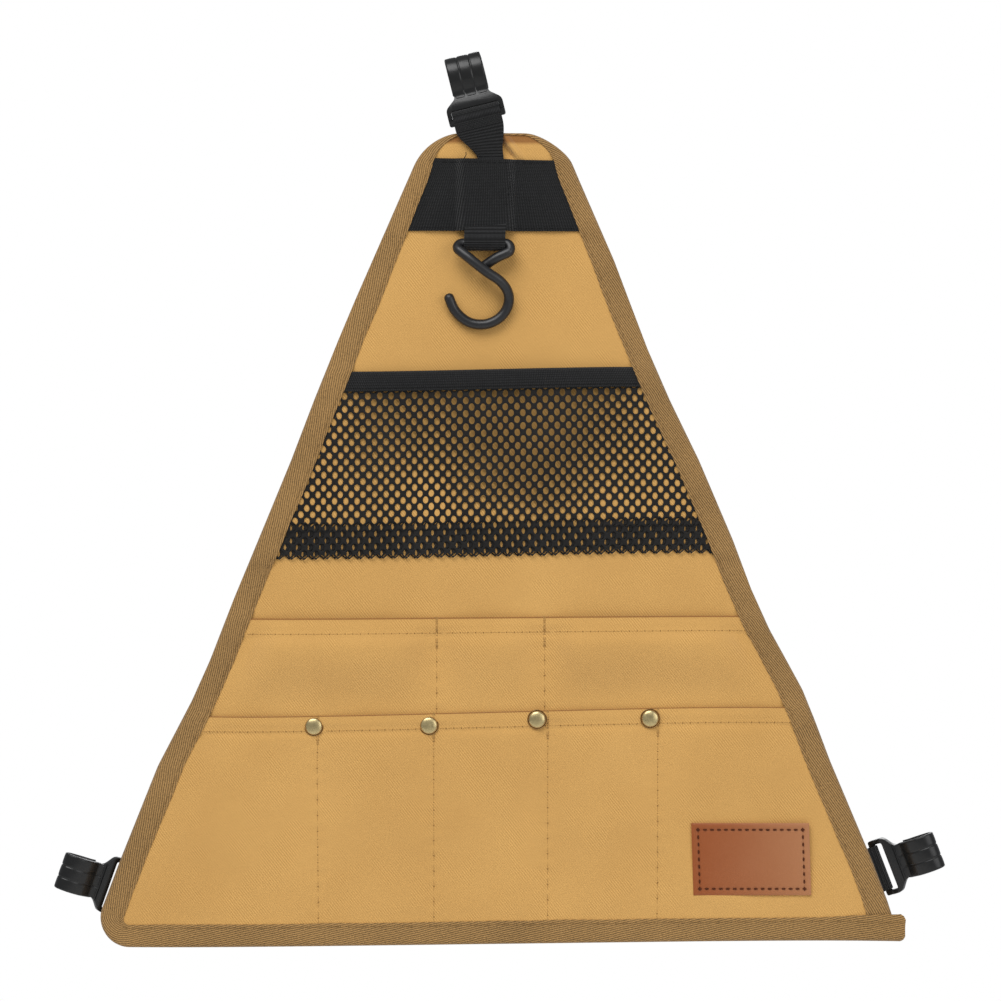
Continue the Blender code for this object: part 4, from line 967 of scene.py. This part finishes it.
def make_pocket(pocket, settings):
    """A row of pockets: a cloth with a turned hem, sewn down at its dividers."""
    name, mouth = pocket.name, pocket.mouth
    foot = PANEL_HEIGHT - 0.006

    def place(u, v):
        drop = mouth + (1 - v) ** 1.35 * (foot - mouth)
        x = cloth_x(u, drop, 0.0045)
        return settle((x, pocket_surface(pocket, x, drop), drop))

    def place_hem(u, v):
        x = (2 * u - 1) * half_width(mouth, 0.0145)
        drop = mouth + (1 - v) * (HEM + 0.0008)
        return settle((x, pocket_surface(pocket, x, drop) - CLOTH_THICK, drop + 0.0002))

    def seam_down(x, start, length, steps):
        return [on_cloth(x, start + length * i / steps) for i in range(steps + 1)]

    def on_cloth(x, drop):
        return settle((x, pocket_surface(pocket, x, drop) + CLOTH_THICK / 2 + 0.00004, drop))

    cloth = grid_piece(f"{name}_cloth", 220, 100, place, CLOTH_THICK)
    finish_piece(cloth, "tan_canvas_finish", [name])
    turned = grid_piece(f"{name}_hem", 150, 5, place_hem, CLOTH_THICK * 0.8)
    finish_piece(turned, "tan_canvas_finish")
    area = (half_width(foot) + half_width(mouth)) * (foot - mouth)
    hem_line, start = mouth + HEM - 0.0006, mouth + 0.0008
    seams = [[on_cloth(x, hem_line) for x in seam_row(hem_line, 120)]]
    seams += [seam_down(seam, start, pocket.seam_end - start, 60) for seam in pocket.dividers]
    sizes = (settings.stitch, settings.stitch * 0.72, 0.00014, 0.00042)
    make_stitches(f"{name}_stitches", seams, "tan_thread", "tan_needle_hole", sizes)
    tacks = [
        seam_down(seam + aside, mouth + 0.0006, 0.0145, 20) for seam in pocket.dividers for aside in (-0.00045, 0.00045)
    ]
    sizes = (0.0029, 0.0022, 0.00018, 0.00024)
    make_stitches(f"{name}_back_tacks", tacks, "tan_thread", "tan_needle_hole", sizes)


def net_surface(x, drop):
    """How far the net stands off the canvas."""
    down = (drop - NET_MOUTH) / (NET_FOOT - NET_MOUTH)
    share = max(0.0, 1 - (x / half_width(drop, FREE_INSET)) ** 2) ** 0.8
    full = (1 - smoothstep(0.0, 0.82, down)) * 0.0027 + 0.0014 * bump(0.02, 0.05, x) * bump(0.45, 0.5, down)
    fold = 0.0010 * bump(0.026, 0.028, x) * (1 - down) - 0.0006 * bump(-0.035, 0.02, x)
    ripple = 0.0005 * soft_noise(x, drop, 0.02, 6.2)
    mouth = 0.0004 * (1 - smoothstep(0.012, 0.020, drop - NET_MOUTH))
    return NET_LAYER + mouth + share * (full + (fold + ripple) * (1 - smoothstep(0.7, 0.95, down)))


def net_tile():
    """One hole of the net with the strands round it, out to where the next ones begin."""
    half = NET_ACROSS / 2
    crown = (half * half + NET_DOWN * NET_DOWN) / 2 / NET_DOWN
    side = crown - half * half / NET_DOWN
    corners = [(half, -side), (half, side), (0, crown), (-half, side), (-half, -side), (0, -crown)]
    outer = []
    for start, end in zip(corners, corners[1:] + corners[:1]):
        outer += [start, ((start[0] + end[0]) / 2, (start[1] + end[1]) / 2)]
    outer = outer[1:] + outer[:1]
    turns = [math.tau * i / len(outer) for i in range(len(outer))]
    hole = [(NET_HOLE[0] * math.cos(turn), NET_HOLE[1] * math.sin(turn)) for turn in turns]
    strand = [((a[0] + 1.3 * b[0]) / 2.3, (a[1] + 1.3 * b[1]) / 2.3) for a, b in zip(outer, hole)]
    high, mid = 0.00034, 0.00027
    layers = ((-high, outer), (-mid, strand), (0, hole), (mid, strand), (high, outer))
    shell = bmesh.new()
    join_rings(shell, [[shell.verts.new((x, y, z)) for x, z in points] for y, points in layers], capped=False)
    if sum(face.normal.y for face in shell.faces if face.calc_center_median().y < -mid / 2) > 0:
        bmesh.ops.reverse_faces(shell, faces=shell.faces)
    return mesh_object("net_tile", shell)


def make_net(name, top, foot, lift=0.0, shift=0.0, drift=0.0, replaced=()):
    """A field of net tiles between two drops, bent to the pocket's shape. Its holes drift sideways."""
    points = []
    row, drop = 0, top
    while drop < foot:
        clear = half_width(drop, 0.0080)
        middle = shift + NET_ACROSS / 2 * (row % 2)
        reach = int(clear / NET_ACROSS) + 1
        xs = [middle + column * NET_ACROSS for column in range(-reach, reach + 1)]
        points += [(x, 0, -drop) for x in xs if abs(x) < clear]
        row += 1
        drop += NET_DOWN
    tile = net_tile()
    tree = bpy.data.node_groups.get("net_lattice") or lattice_tree("net_lattice")
    values = {"Shape": tile, "Weld": 0.00004, "Finish": bpy.data.materials["black_net_finish"]}
    net = run_tree(name, point_mesh(name, points), tree, values)
    bpy.data.objects.remove(tile)
    for vertex in net.data.vertices:
        x, y, z = vertex.co
        wobble_x = 0.00035 * soft_noise(x, -z, 0.012, 2.0) + (0.0009 + drift) * soft_noise(x, -z, 0.038, 13.0)
        wobble_z = 0.00035 * soft_noise(x, -z, 0.012, 7.0)
        raised = lift * (0.55 + 0.45 * freedom(x, -z))
        vertex.co = settle((x + wobble_x, net_surface(x, -z) + raised - y, -z + wobble_z))
    finish_piece(net, None, replaced, 70)


def make_net_tape():
    """The tape folded over the net's mouth."""
    section = [(NET_TAPE, 0.0010), (NET_TAPE * 0.5, 0.0011), (0.0012, 0.0010), (0.0002, 0.0006), (0.0, 0.0)]
    section += [(down, -y) for down, y in reversed(section[:-1])]

    def on_net(x, y, drop, lift=0.0):
        free = freedom(x, drop)
        return settle((x, net_surface(x, drop) + 0.0003 * free + y * (0.65 + 0.35 * free) + lift, drop))

    def place(u, v):
        down, y = section[round(v * (len(section) - 1))]
        drop = NET_MOUTH + down
        return on_net((2 * u - 1) * half_width(drop, 0.0100), y, drop)

    lengths = (2 * half_width(NET_MOUTH), 0.0225)
    tape = grid_piece("net_mouth_tape", 90, len(section) - 1, place, 0.0005, lengths=lengths)
    finish_piece(tape, "black_tape_finish", ["net_tape"], 60)
    line, fold_line = NET_MOUTH + NET_TAPE - 0.0016, NET_FOOT - NET_FOLD + 0.002
    seam = [on_net(x, 0.00105, line, 0.0003) for x in seam_row(line, 80)]
    fold_seam = [settle((x, net_surface(x, fold_line) + 0.0014, fold_line)) for x in seam_row(fold_line, 100)]
    sizes = (0.0032, 0.0026, 0.00024, 0.0002)
    make_stitches("net_stitches", [seam, fold_seam], "black_thread", "black_thread", sizes)


def make_band():
    """The wide webbing band, raised where the strap runs under it, and a loose end of its thread."""
    left, right = STRAP_X - WEB_WIDTH / 2, STRAP_X + WEB_WIDTH / 2

    def surface(x, drop):
        raised = smoothstep(left - 0.0045, left + 0.0015, x) * (1 - smoothstep(right - 0.0015, right + 0.0045, x))
        low = smoothstep(BAND_FOOT - 0.016, BAND_FOOT, drop)
        wave = 0.0003 * soft_noise(x, drop, 0.012, 3.3) + 0.0005 * soft_noise(x, drop, 0.03, 7.7)
        bow = 0.0004 * bump((BAND_TOP + BAND_FOOT) / 2, 0.02, drop) * (1 - raised)
        return 0.00105 + freedom(x, drop) * (0.0006 + wave + bow) + (0.0030 + 0.0007 * low) * raised

    def place(u, v):
        drop = BAND_TOP + (1 - v) * (BAND_FOOT - BAND_TOP) + 0.0010 * (u - 0.5) * v
        x = cloth_x(u, drop, 0.0070)
        return settle((x, surface(x, drop), drop))

    lengths = (2 * half_width(BAND_FOOT), BAND_FOOT - BAND_TOP)
    band = grid_piece("webbing_band", 260, 34, place, WEB_THICK, lengths=lengths, round_edge=0.00025)
    finish_piece(band, "black_webbing_finish", ["top_band"], 60)
    above = WEB_THICK / 2 + 0.0001
    seams = [
        [settle((x, surface(x, drop) + above, drop)) for x in seam_row(drop, 60)]
        for drop in (BAND_TOP + 0.0018, BAND_FOOT - 0.0018)
    ]
    make_stitches("band_stitches", seams, "black_thread", "black_thread", (0.0034, 0.0026, 0.00022, 0.0002))
    loose = (
        (-0.0171, 0.0024, 0.0020), (-0.0166, 0.0042, -0.0003), (-0.0156, 0.0046, -0.0021), (-0.0157, 0.0040, -0.0036),
    )
    path = smooth_path([at(x, y, BAND_TOP + down) for x, y, down in loose], 4)
    finish_piece(tube_piece("loose_thread", path, 0.00022, 6), "black_thread")


def bar_frame(side):
    """A moulded hook's bar, the direction along it, and the direction from it to the hook's curl."""
    joint = JOINTS[f"{side}_hook_swivel"]
    bar, along = Vector(joint["pos_m"]), Vector(joint["axis"]).normalized()
    out = Vector((-along.z, 0, along.x))
    return bar, along, -out if side != "top" and out.x * bar.x < 0 else out


def bar_wrap(centre, out, radius, start, end, steps):
    """Points on a turn of webbing round a bar, by angle from the front round its far side to the back."""
    turns = [math.radians(start + (end - start) * step / steps) for step in range(steps + 1)]
    return [centre + FRONT * (radius * math.cos(turn)) + out * (radius * math.sin(turn)) for turn in turns]


def webbing_strip(name, path, acrosses, thickness, replaced=(), bow=None):
    """Webbing along a path: each step has its half width as a vector, and may be bowed across."""
    total = sum((b - a).length for a, b in zip(path, path[1:]))

    def place(u, v):
        index = round(u * (len(path) - 1))
        side = 2 * v - 1
        normal = heading(path, index).cross(acrosses[index]).normalized()
        arch = bow[index] if bow else 0.0
        return path[index] + acrosses[index] * side + normal * arch * (side * side - 0.4)

    strip = grid_piece(
        name, len(path) - 1, 14, place, thickness, lengths=(total, WEB_WIDTH), round_edge=0.0002
    )
    finish_piece(strip, "black_webbing_finish", replaced, 60)


def make_hanging_strap():
    """The doubled strap: up from under the band, loosely round the top hook's bar and down again, and
    a loop below the band round the S-hook's bar."""
    bar, along, out = bar_frame("top")
    ring = HOOK_BAR + 0.0003 + WEB_THICK / 2
    neck = at(-0.0020, 0.0030, BAND_TOP + 0.001)
    root = at(STRAP_X, 0.0030, BAND_TOP + 0.020)
    legs = []
    for depth, lead in ((-0.0004, -1), (WEB_THICK - 0.0001, 1)):
        lift = Vector((0, depth, 0))
        low = bar - out * 0.0050 + Vector((0, lead * 0.0013, 0))
        side = bar + Vector((0, lead * ring, 0))
        legs.append(smooth_path([root + lift, neck + lift, neck.lerp(low, 0.5) + lift, low, side], 7))
    path = legs[0] + bar_wrap(bar + out * 0.0038, out, ring, 0, 180, 16) + legs[1][::-1]
    acrosses, bow = [], []
    gathered = 0.0070
    for point in path:
        drop = PANEL_ORIGIN.z - point.z
        share = smoothstep(BAND_TOP, -0.004, drop) if drop < BAND_TOP else 0.0
        spread = max(share, smoothstep(BAND_TOP, BAND_TOP + 0.016, drop))
        half = gathered + (WEB_WIDTH / 2 - gathered) * spread + 0.0008 * share
        acrosses.append(Vector((1, 0, 0)).lerp(along, share).normalized() * half)
        bow.append(0.0022 * (1 - spread))
    webbing_strip("hanging_strap_loop", path, acrosses, WEB_THICK, ["hanging_strap"], bow)
    pivot = Vector(JOINTS["s_hook_swing"]["pos_m"])
    ring = S_HOOK_TURN + WEB_THICK / 2
    foot = at(STRAP_X, 0.0032, BAND_FOOT - 0.004)
    front = smooth_path([foot + Vector((0, -0.0006, 0)), pivot + Vector((0, -ring, 0.0030))], 6)
    back = smooth_path([pivot + Vector((0, ring * 0.75, 0.0032)), foot + Vector((0, WEB_THICK - 0.0002, 0))], 6)
    path = front[:-1] + bar_wrap(pivot, DOWN, ring, -20, 205, 18) + back[1:]
    webbing_strip("s_hook_loop", path, [Vector((WEB_WIDTH / 2 - 0.0012, 0, 0))] * len(path), WEB_THICK)


def make_side_strap(side):
    """A webbing loop round a lower hook's bar, its two ends sewn to the panel's back."""
    bar, along, out = bar_frame(side)
    reach = SIDE_STRAP_REACH[side]
    box_length, box_half, steps = 0.0052, 0.0105, 12
    seam_start = reach - box_length
    thick = WEB_THICK * 0.8
    ring = HOOK_BAR + 0.0001 + thick / 2
    rear = PANEL_ORIGIN.y + 0.0014
    legs = []
    for lift, leg_y in ((0.0, -ring * 1.04), (thick, ring * 1.04)):
        points = [bar - out * reach, bar - out * seam_start, bar - out * 0.0075]
        for point in points:
            point.y = rear + thick / 2 + lift
        legs.append(smooth_path([*points, bar + Vector((0, leg_y, 0)) - out * 0.0012], 7))
    path = legs[0][:-1] + bar_wrap(bar, out, ring, -22, 202, 18) + legs[1][::-1][1:]
    acrosses = [along * (WEB_WIDTH / 2)] * len(path)
    webbing_strip(f"{side}_strap_loop", path, acrosses, thick, [f"{side}_hook_strap"])
    inner, outer = bar - out * (reach - 0.0012), bar - out * (seam_start + 0.0006)
    half = along * box_half
    corners = [inner + half, outer + half, outer - half, inner - half]
    corners += [corners[0], corners[2], corners[1], corners[3]]
    seams = [[start.lerp(end, i / steps) for i in range(steps + 1)] for start, end in zip(corners, corners[1:])]
    for path in seams:
        for point in path:
            point.y = rear + 2 * thick + 0.0001
    sizes = (0.0030, 0.0024, 0.00024, 0.0002)
    make_stitches(f"{side}_strap_stitches", seams, "black_thread", "black_thread", sizes, [BACK] * len(seams))


def curl_section():
    """A curl's cross-section as (across, out from its middle): three rounded lands in front, plain behind."""
    half, thick, edge = 0.0101, 0.00115, 0.0008
    land, groove = 0.0033, 0.00030

    def height(across):
        over = max(0.0, abs(across) - half + edge)
        return thick - edge + math.sqrt(max(edge * edge - over * over, 0.0))

    section = []
    for step in range(61):
        across = half * (step / 30 - 1)
        from_land = across if abs(across) < land else abs(across) - 2 * land
        cut = 0.00036 * math.exp(-(((abs(across) - land) / groove) ** 2))
        section.append((across, height(across) - cut + 0.00014 * (1 - (from_land / land) ** 2)))
    return section + [(across, -height(across)) for across in (half * (1 - step / 7.5) for step in range(16))]


def make_moulded_hook(side):
    """A moulded hook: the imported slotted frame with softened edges, and the curl that runs forward from
    it, round and back to a flared tip."""
    bar, along, flat_out = bar_frame(side)
    turn = 0.0 if side == "top" else SIDE_HOOK_TILT
    out = flat_out * math.cos(turn) + FRONT * math.sin(turn)
    forward = FRONT * math.cos(turn) - flat_out * math.sin(turn)
    shell = bmesh.new()
    shell.from_mesh(frame["nodes"][f"{side}_hook"].data)
    bmesh.ops.remove_doubles(shell, verts=shell.verts, dist=2e-6)
    bmesh.ops.dissolve_limit(shell, angle_limit=math.radians(0.2), verts=shell.verts, edges=shell.edges)
    everything = [*shell.verts, *shell.edges, *shell.faces]
    bmesh.ops.bisect_plane(shell, geom=everything, plane_co=bar + out * HOOK_CUT, plane_no=out, clear_outer=True)
    bmesh.ops.holes_fill(shell, edges=[edge for edge in shell.edges if edge.is_boundary], sides=0)
    hook = mesh_object(f"{side}_moulded_hook", shell)
    soften(hook, 0.00045, 3, 38)
    apply_modifiers(hook)
    shell = bmesh.new()
    shell.from_mesh(hook.data)
    run = smooth_path([(reach, front, 0) for reach, front in HOOK_CURL], 5)
    rings = []
    for index, point in enumerate(run):
        ahead = heading(run, index)
        lift = out * -ahead.y + forward * ahead.x
        middle = bar + out * point.x + forward * point.y
        slim = 1 - 0.45 * smoothstep(len(run) - 5, len(run), index)
        wide = 0.93 + 0.07 * smoothstep(0, 9, index)
        rings.append([
            shell.verts.new(middle + along * across * wide + lift * height * slim)
            for across, height in curl_section()
        ])
    join_rings(shell, rings)
    shell.to_mesh(hook.data)
    shell.free()
    body = f"{side}_hook"
    finish_piece(hook, "black_nylon_finish", [body], 38, body)


def make_s_hook():
    """The bent wire: a square top bar whose ends cross, then a round open hook."""

    def corner(side, half, bend, lean):
        """The bend at one end of the bar, round to where the wire runs to the crossing."""
        lean = math.radians(lean)
        down = Vector((0, -math.sin(lean), -math.cos(lean)))
        turns = [math.radians(140 * step / 6 - 90) for step in range(7)]
        return [
            Vector((side * (half + bend * math.cos(turn)), 0, 0)) + down * bend * (1 + math.sin(turn)) for turn in turns
        ]

    rear, front = (corner(*end) for end in S_HOOK_ENDS)
    points = [*S_HOOK_REAR, *rear[::-1], (0, 0, 0), *front, *S_HOOK_RUN]
    pivot = Vector(JOINTS["s_hook_swing"]["pos_m"])
    hook = tube_piece("wire_s_hook", [pivot + point for point in smooth_path(points, 4)], S_HOOK_RADIUS, 18)
    finish_piece(hook, "black_coated_wire_finish", ["s_hook"], body="s_hook")


def turned_piece(name, profile, sides=28):
    """A turned closed shape about +Y from (radius, depth) points, front first. Each point keeps its share
    of the full radius as "reach"."""
    shell = bmesh.new()
    reach = shell.verts.layers.float.new("reach")
    widest = max(radius for radius, _ in profile)
    rings = []
    for radius, depth in profile:
        turns = [math.tau * side / sides for side in range(sides)] if radius else [0.0]
        ring = [shell.verts.new((radius * math.cos(turn), depth, radius * math.sin(turn))) for turn in turns]
        for vertex in ring:
            vertex[reach] = radius / widest
        rings.append(ring)
    join_rings(shell, rings, capped=False)
    return mesh_object(name, shell)


def make_rivets():
    """Four double-cap rivets: domed heads in front, flat heads behind."""
    dome = [(0, -0.0024)]
    for share in (step / 8 for step in range(1, 8)):
        dome.append((RIVET_RADIUS * 0.94 * share, -0.0007 - 0.0017 * math.sqrt(1 - share**2.2)))
    rim_groove = ((0.93, -0.0004), (0.96, -0.0007), (1, -0.0005), (0.985, -0.0001), (0.93, 0), (0, 0))
    dome += [(RIVET_RADIUS * share, depth) for share, depth in rim_groove]
    tail = [(0, 0), (0.0045, 0), (0.0045, 0.0004), (0.0040, 0.0008), (0.0028, 0.00095), (0, 0.0009)]
    fronts, backs = [], []
    for x, z in RIVETS:
        skin = relief(x, -z) - 0.0001
        fronts.append(at(x, pocket_surface(LOWER, x, -z) + CLOTH_THICK / 2 + skin, -z))
        backs.append(at(x, skin - CANVAS_THICK / 2, -z))
    tree = lattice_tree("rivet_row")
    for name, profile, places, replaced in (
        ("rivet_heads", dome, fronts, "rivet_cap"), ("rivet_backs", tail, backs, "rivet_post"),
    ):
        shape = turned_piece(f"{name}_shape", profile)
        values = {"Shape": shape, "Weld": 0.000001, "Finish": bpy.data.materials["antique_brass_finish"]}
        rivets = run_tree(name, point_mesh(name, places), tree, values)
        finish_piece(rivets, None, [f"{replaced}_{number}" for number in range(1, len(RIVETS) + 1)], 50)
        bpy.data.objects.remove(shape)


def make_patch():
    """The leather patch with a pressed border and its stitching."""
    width, height = PATCH_SIZE
    cx, drop = PATCH_CENTRE
    thick, gap, inset, steps = 0.0015, 0.0002, 0.0036, 30

    def skin_at(drop):
        return pocket_surface(LOWER, cx, drop) + relief(cx, drop)

    lean = (skin_at(drop - height / 2) - skin_at(drop)) / (height / 2)
    skin = skin_at(drop) + CLOTH_THICK / 2 + thick + gap

    def on_patch(x, y, z):
        return at(cx + x - PATCH_SKEW * z, skin + lean * z + y, drop - z)

    def place(u, v):
        x, z = (u - 0.5) * width, (v - 0.5) * height
        from_edge = min(width / 2 - abs(x), height / 2 - abs(z))
        groove = 0.00020 * bump(inset, 0.0012, from_edge)
        edge = 0.00035 * (1 - smoothstep(0.0, 0.0010, from_edge))
        return on_patch(x, 0.0001 * soft_noise(x, z, 0.01, 9.0) - groove - edge, z)

    patch = grid_piece("leather_label", 132, 80, place, thick, -1.0)
    finish_piece(patch, "brown_leather_finish", ["leather_patch"], 50)
    hx, hz = width / 2 - inset, height / 2 - inset
    corners = [(-hx, -hz), (hx, -hz), (hx, hz), (-hx, hz), (-hx, -hz)]
    seams = [
        [on_patch(x0 + (x1 - x0) * i / steps, 0.00006, z0 + (z1 - z0) * i / steps) for i in range(steps + 1)]
        for (x0, z0), (x1, z1) in zip(corners, corners[1:])
    ]
    make_stitches("label_stitches", seams, "leather_thread", "leather_hole", (0.0038, 0.0025, 0.00052, 0.00008))


# Settings, operators and panel

class CanvasSettings(PropertyGroup):
    colour: FloatVectorProperty(
        name="Canvas colour", description="Dye of the canvas", subtype="COLOR", default=(0.590, 0.330, 0.096)
    )
    twill: FloatProperty(
        name="Twill spacing", description="Distance between the twill's diagonals", unit="LENGTH", default=0.00125
    )
    stitch: FloatProperty(
        name="Stitch pitch", description="Length of one stitch with its gap", unit="LENGTH", default=0.0042
    )


class TapeSettings(PropertyGroup):
    colour: FloatVectorProperty(
        name="Tape colour", description="Dye of the edge tape", subtype="COLOR", default=(0.345, 0.198, 0.071)
    )
    rib: FloatProperty(
        name="Rib spacing", description="Distance between the tape's ribs", unit="LENGTH", default=0.00115
    )


class WebbingSettings(PropertyGroup):
    colour: FloatVectorProperty(
        name="Webbing colour", description="Dye of the webbing", subtype="COLOR", default=(0.0110, 0.0110, 0.0115)
    )
    rib: FloatProperty(name="Rib spacing", description="Distance between the ribs", unit="LENGTH", default=0.0017)


class NetSettings(PropertyGroup):
    colour: FloatVectorProperty(
        name="Net colour", description="Dye of the net", subtype="COLOR", default=(0.010, 0.0093, 0.0088)
    )


class HardwareSettings(PropertyGroup):
    plastic: FloatVectorProperty(
        name="Nylon colour", description="Colour of the moulded hooks", subtype="COLOR", default=(0.007, 0.007, 0.007)
    )
    wire: FloatVectorProperty(
        name="Wire colour", description="Coating of the S-hook", subtype="COLOR", default=(0.010, 0.010, 0.011)
    )
    brass: FloatVectorProperty(
        name="Brass colour", description="Metal of the rivets", subtype="COLOR", default=(0.66, 0.53, 0.27)
    )


class LeatherSettings(PropertyGroup):
    colour: FloatVectorProperty(
        name="Leather colour", description="Dye of the patch", subtype="COLOR", default=(0.320, 0.098, 0.0235)
    )


class StageSettings(PropertyGroup):
    field: FloatProperty(
        name="Picture width", description="Width seen at the panel", unit="LENGTH", default=0.55055
    )
    distance: FloatProperty(
        name="Camera distance", description="From the camera to the panel", unit="LENGTH", default=2.4
    )


GROUPS = {
    "organiser_canvas": CanvasSettings,
    "organiser_tape": TapeSettings,
    "organiser_webbing": WebbingSettings,
    "organiser_net": NetSettings,
    "organiser_hardware": HardwareSettings,
    "organiser_leather": LeatherSettings,
    "organiser_stage": StageSettings,
}


class ORGANISER_OT_finishes(Operator):
    """Make the finishes of every cloth, webbing, metal, plastic and leather"""

    bl_idname = "organiser.finishes"
    bl_label = "Make finishes"

    def execute(self, context):
        scene = context.scene
        canvas_material(scene.organiser_canvas)
        tape_material(scene.organiser_tape)
        webbing_material(scene.organiser_webbing)
        webbing_material(scene.organiser_webbing, "black_tape_finish", 0.0011)
        net_material(scene.organiser_net)
        plastic_material(scene.organiser_hardware)
        wire_material(scene.organiser_hardware)
        brass_material(scene.organiser_hardware)
        leather_material(scene.organiser_leather)
        for name, colour in THREADS.items():
            thread_material(name, colour)
        return {"FINISHED"}


class ORGANISER_OT_panel(Operator):
    """Make the canvas panel and the tape folded over its rim"""

    bl_idname = "organiser.panel"
    bl_label = "Make panel"

    def execute(self, context):
        make_canvas()
        make_binding()
        return {"FINISHED"}


class ORGANISER_OT_pockets(Operator):
    """Make the two rows of pockets with their hems, the rivets and the leather patch"""

    bl_idname = "organiser.pockets"
    bl_label = "Make pockets"

    def execute(self, context):
        canvas = context.scene.organiser_canvas
        make_pocket(UPPER, canvas)
        make_pocket(LOWER, canvas)
        make_rivets()
        make_patch()
        return {"FINISHED"}


class ORGANISER_OT_net(Operator):
    """Make the net pocket, its folded foot and the tape over its mouth"""

    bl_idname = "organiser.net"
    bl_label = "Make net"

    def execute(self, context):
        make_net("net_field", NET_MOUTH + 0.006, NET_FOOT - 0.0015, replaced=["net_pocket"])
        make_net("net_foot_fold", NET_FOOT - NET_FOLD, NET_FOOT - 0.0012, lift=0.0009, shift=0.0017, drift=0.0014)
        make_net_tape()
        return {"FINISHED"}


class ORGANISER_OT_webbing(Operator):
    """Make the band, the hanging strap and the two lower hooks' loops"""

    bl_idname = "organiser.webbing"
    bl_label = "Make webbing"

    def execute(self, context):
        make_band()
        make_hanging_strap()
        for side in ("left", "right"):
            make_side_strap(side)
        return {"FINISHED"}


class ORGANISER_OT_hooks(Operator):
    """Make the three moulded hooks and the wire S-hook"""

    bl_idname = "organiser.hooks"
    bl_label = "Make hooks"

    def execute(self, context):
        for side in ("top", "left", "right"):
            make_moulded_hook(side)
        make_s_hook()
        return {"FINISHED"}


class ORGANISER_OT_stage(Operator):
    """Set up the floor, the soft lights and the camera"""

    bl_idname = "organiser.stage"
    bl_label = "Set up stage"

    def execute(self, context):
        make_stage(context.scene.organiser_stage)
        return {"FINISHED"}


class ORGANISER_PT_sidebar(Panel):
    bl_label = "Organiser"
    bl_idname = "ORGANISER_PT_sidebar"
    bl_space_type = "VIEW_3D"
    bl_region_type = "UI"
    bl_category = "Organiser"

    def draw(self, context):
        for step in STEPS:
            self.layout.operator(step.bl_idname)
        for name, group in GROUPS.items():
            settings = getattr(context.scene, name)
            box = self.layout.box()
            for key in group.__annotations__:
                box.prop(settings, key)


STEPS = (
    ORGANISER_OT_finishes,
    ORGANISER_OT_panel,
    ORGANISER_OT_pockets,
    ORGANISER_OT_net,
    ORGANISER_OT_webbing,
    ORGANISER_OT_hooks,
    ORGANISER_OT_stage,
)


def white_to_camera(tree, shader_socket, output):
    """Shows plain white to the camera, straight or through glass, and the given shader to all other rays."""
    rays = tree.nodes.new("ShaderNodeLightPath").outputs
    mix = add_node(
        tree, "ShaderNodeMixShader", Fac=math_node(tree, "MAXIMUM", rays["Is Camera Ray"], rays["Is Transmission Ray"])
    )
    tree.links.new(shader_socket, mix.inputs[1])
    feed(tree, mix.inputs[2], add_node(tree, "ShaderNodeBackground", Color=(1, 1, 1), Strength=1.0))
    feed(tree, output.inputs["Surface"], mix)


def add_light(name, place, target, size, power):
    light = bpy.data.lights.new(name, "AREA")
    light.shape = "RECTANGLE"
    light.size, light.size_y = size
    light.energy = power
    lamp = new_object(name, light)
    lamp.location = place
    lamp.rotation_euler = (target - place).to_track_quat("-Z", "Y").to_euler()


def make_stage(settings):
    """A pale floor under the hanging panel, white all round, soft lights and the camera."""
    scene = bpy.context.scene
    scene.view_settings.view_transform = "Standard"
    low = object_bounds()[0].z
    disc = bmesh.new()
    bmesh.ops.create_circle(disc, cap_ends=True, segments=96, radius=1.3)
    ground = mesh_object("floor", disc)
    ground.location.z = low - 0.18
    tree, shader = new_material("pale_floor", (0.86, 0.86, 0.85), 0.8)
    place = tree.nodes.new("ShaderNodeTexCoord").outputs["Object"]
    distance = add_node(tree, "ShaderNodeVectorMath", {"operation": "LENGTH"}, Vector=place).outputs["Value"]
    dress(tree, shader, Alpha=map_range(tree, distance, 0.45, 1.28, To_Min=1.0, To_Max=0.0))
    ground.data.materials.append(bpy.data.materials["pale_floor"])
    ground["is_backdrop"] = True
    world = bpy.data.worlds.new("soft_room")
    scene.world = world
    world.use_nodes = True
    nodes = world.node_tree.nodes
    sky = nodes["Background"]
    feed(world.node_tree, sky.inputs["Color"], (0.95, 0.97, 1.0))
    feed(world.node_tree, sky.inputs["Strength"], 0.40)
    white_to_camera(world.node_tree, sky.outputs[0], nodes["World Output"])
    centre = at(0.0033, 0.0, 0.2021)
    add_light("key", centre + Vector((-0.6, -1.5, 1.7)), centre, (1.8, 1.3), 41)
    add_light("fill", centre + Vector((1.3, -1.4, 0.3)), centre, (1.2, 1.2), 9)
    add_light("back", centre + Vector((0.4, 1.5, 1.0)), centre, (1.2, 0.8), 14)
    data = bpy.data.cameras.new("camera")
    data.sensor_width = 36.0
    data.lens = data.sensor_width * settings.distance / settings.field
    data.clip_end = 20
    camera = new_object("camera", data)
    camera.location = centre + FRONT * settings.distance
    camera.rotation_euler = (math.radians(90), 0, 0)
    scene.camera = camera


CLASSES = (*GROUPS.values(), *STEPS, ORGANISER_PT_sidebar)


def register():
    for cls in CLASSES:
        bpy.utils.register_class(cls)
    for name, group in GROUPS.items():
        setattr(bpy.types.Scene, name, PointerProperty(type=group))


def unregister():
    for name in GROUPS:
        delattr(bpy.types.Scene, name)
    for cls in reversed(CLASSES):
        bpy.utils.unregister_class(cls)


def main():
    register()
    for step in STEPS:
        group, action = step.bl_idname.split(".")
        getattr(getattr(bpy.ops, group), action)()


if __name__ == "__main__":
    main()
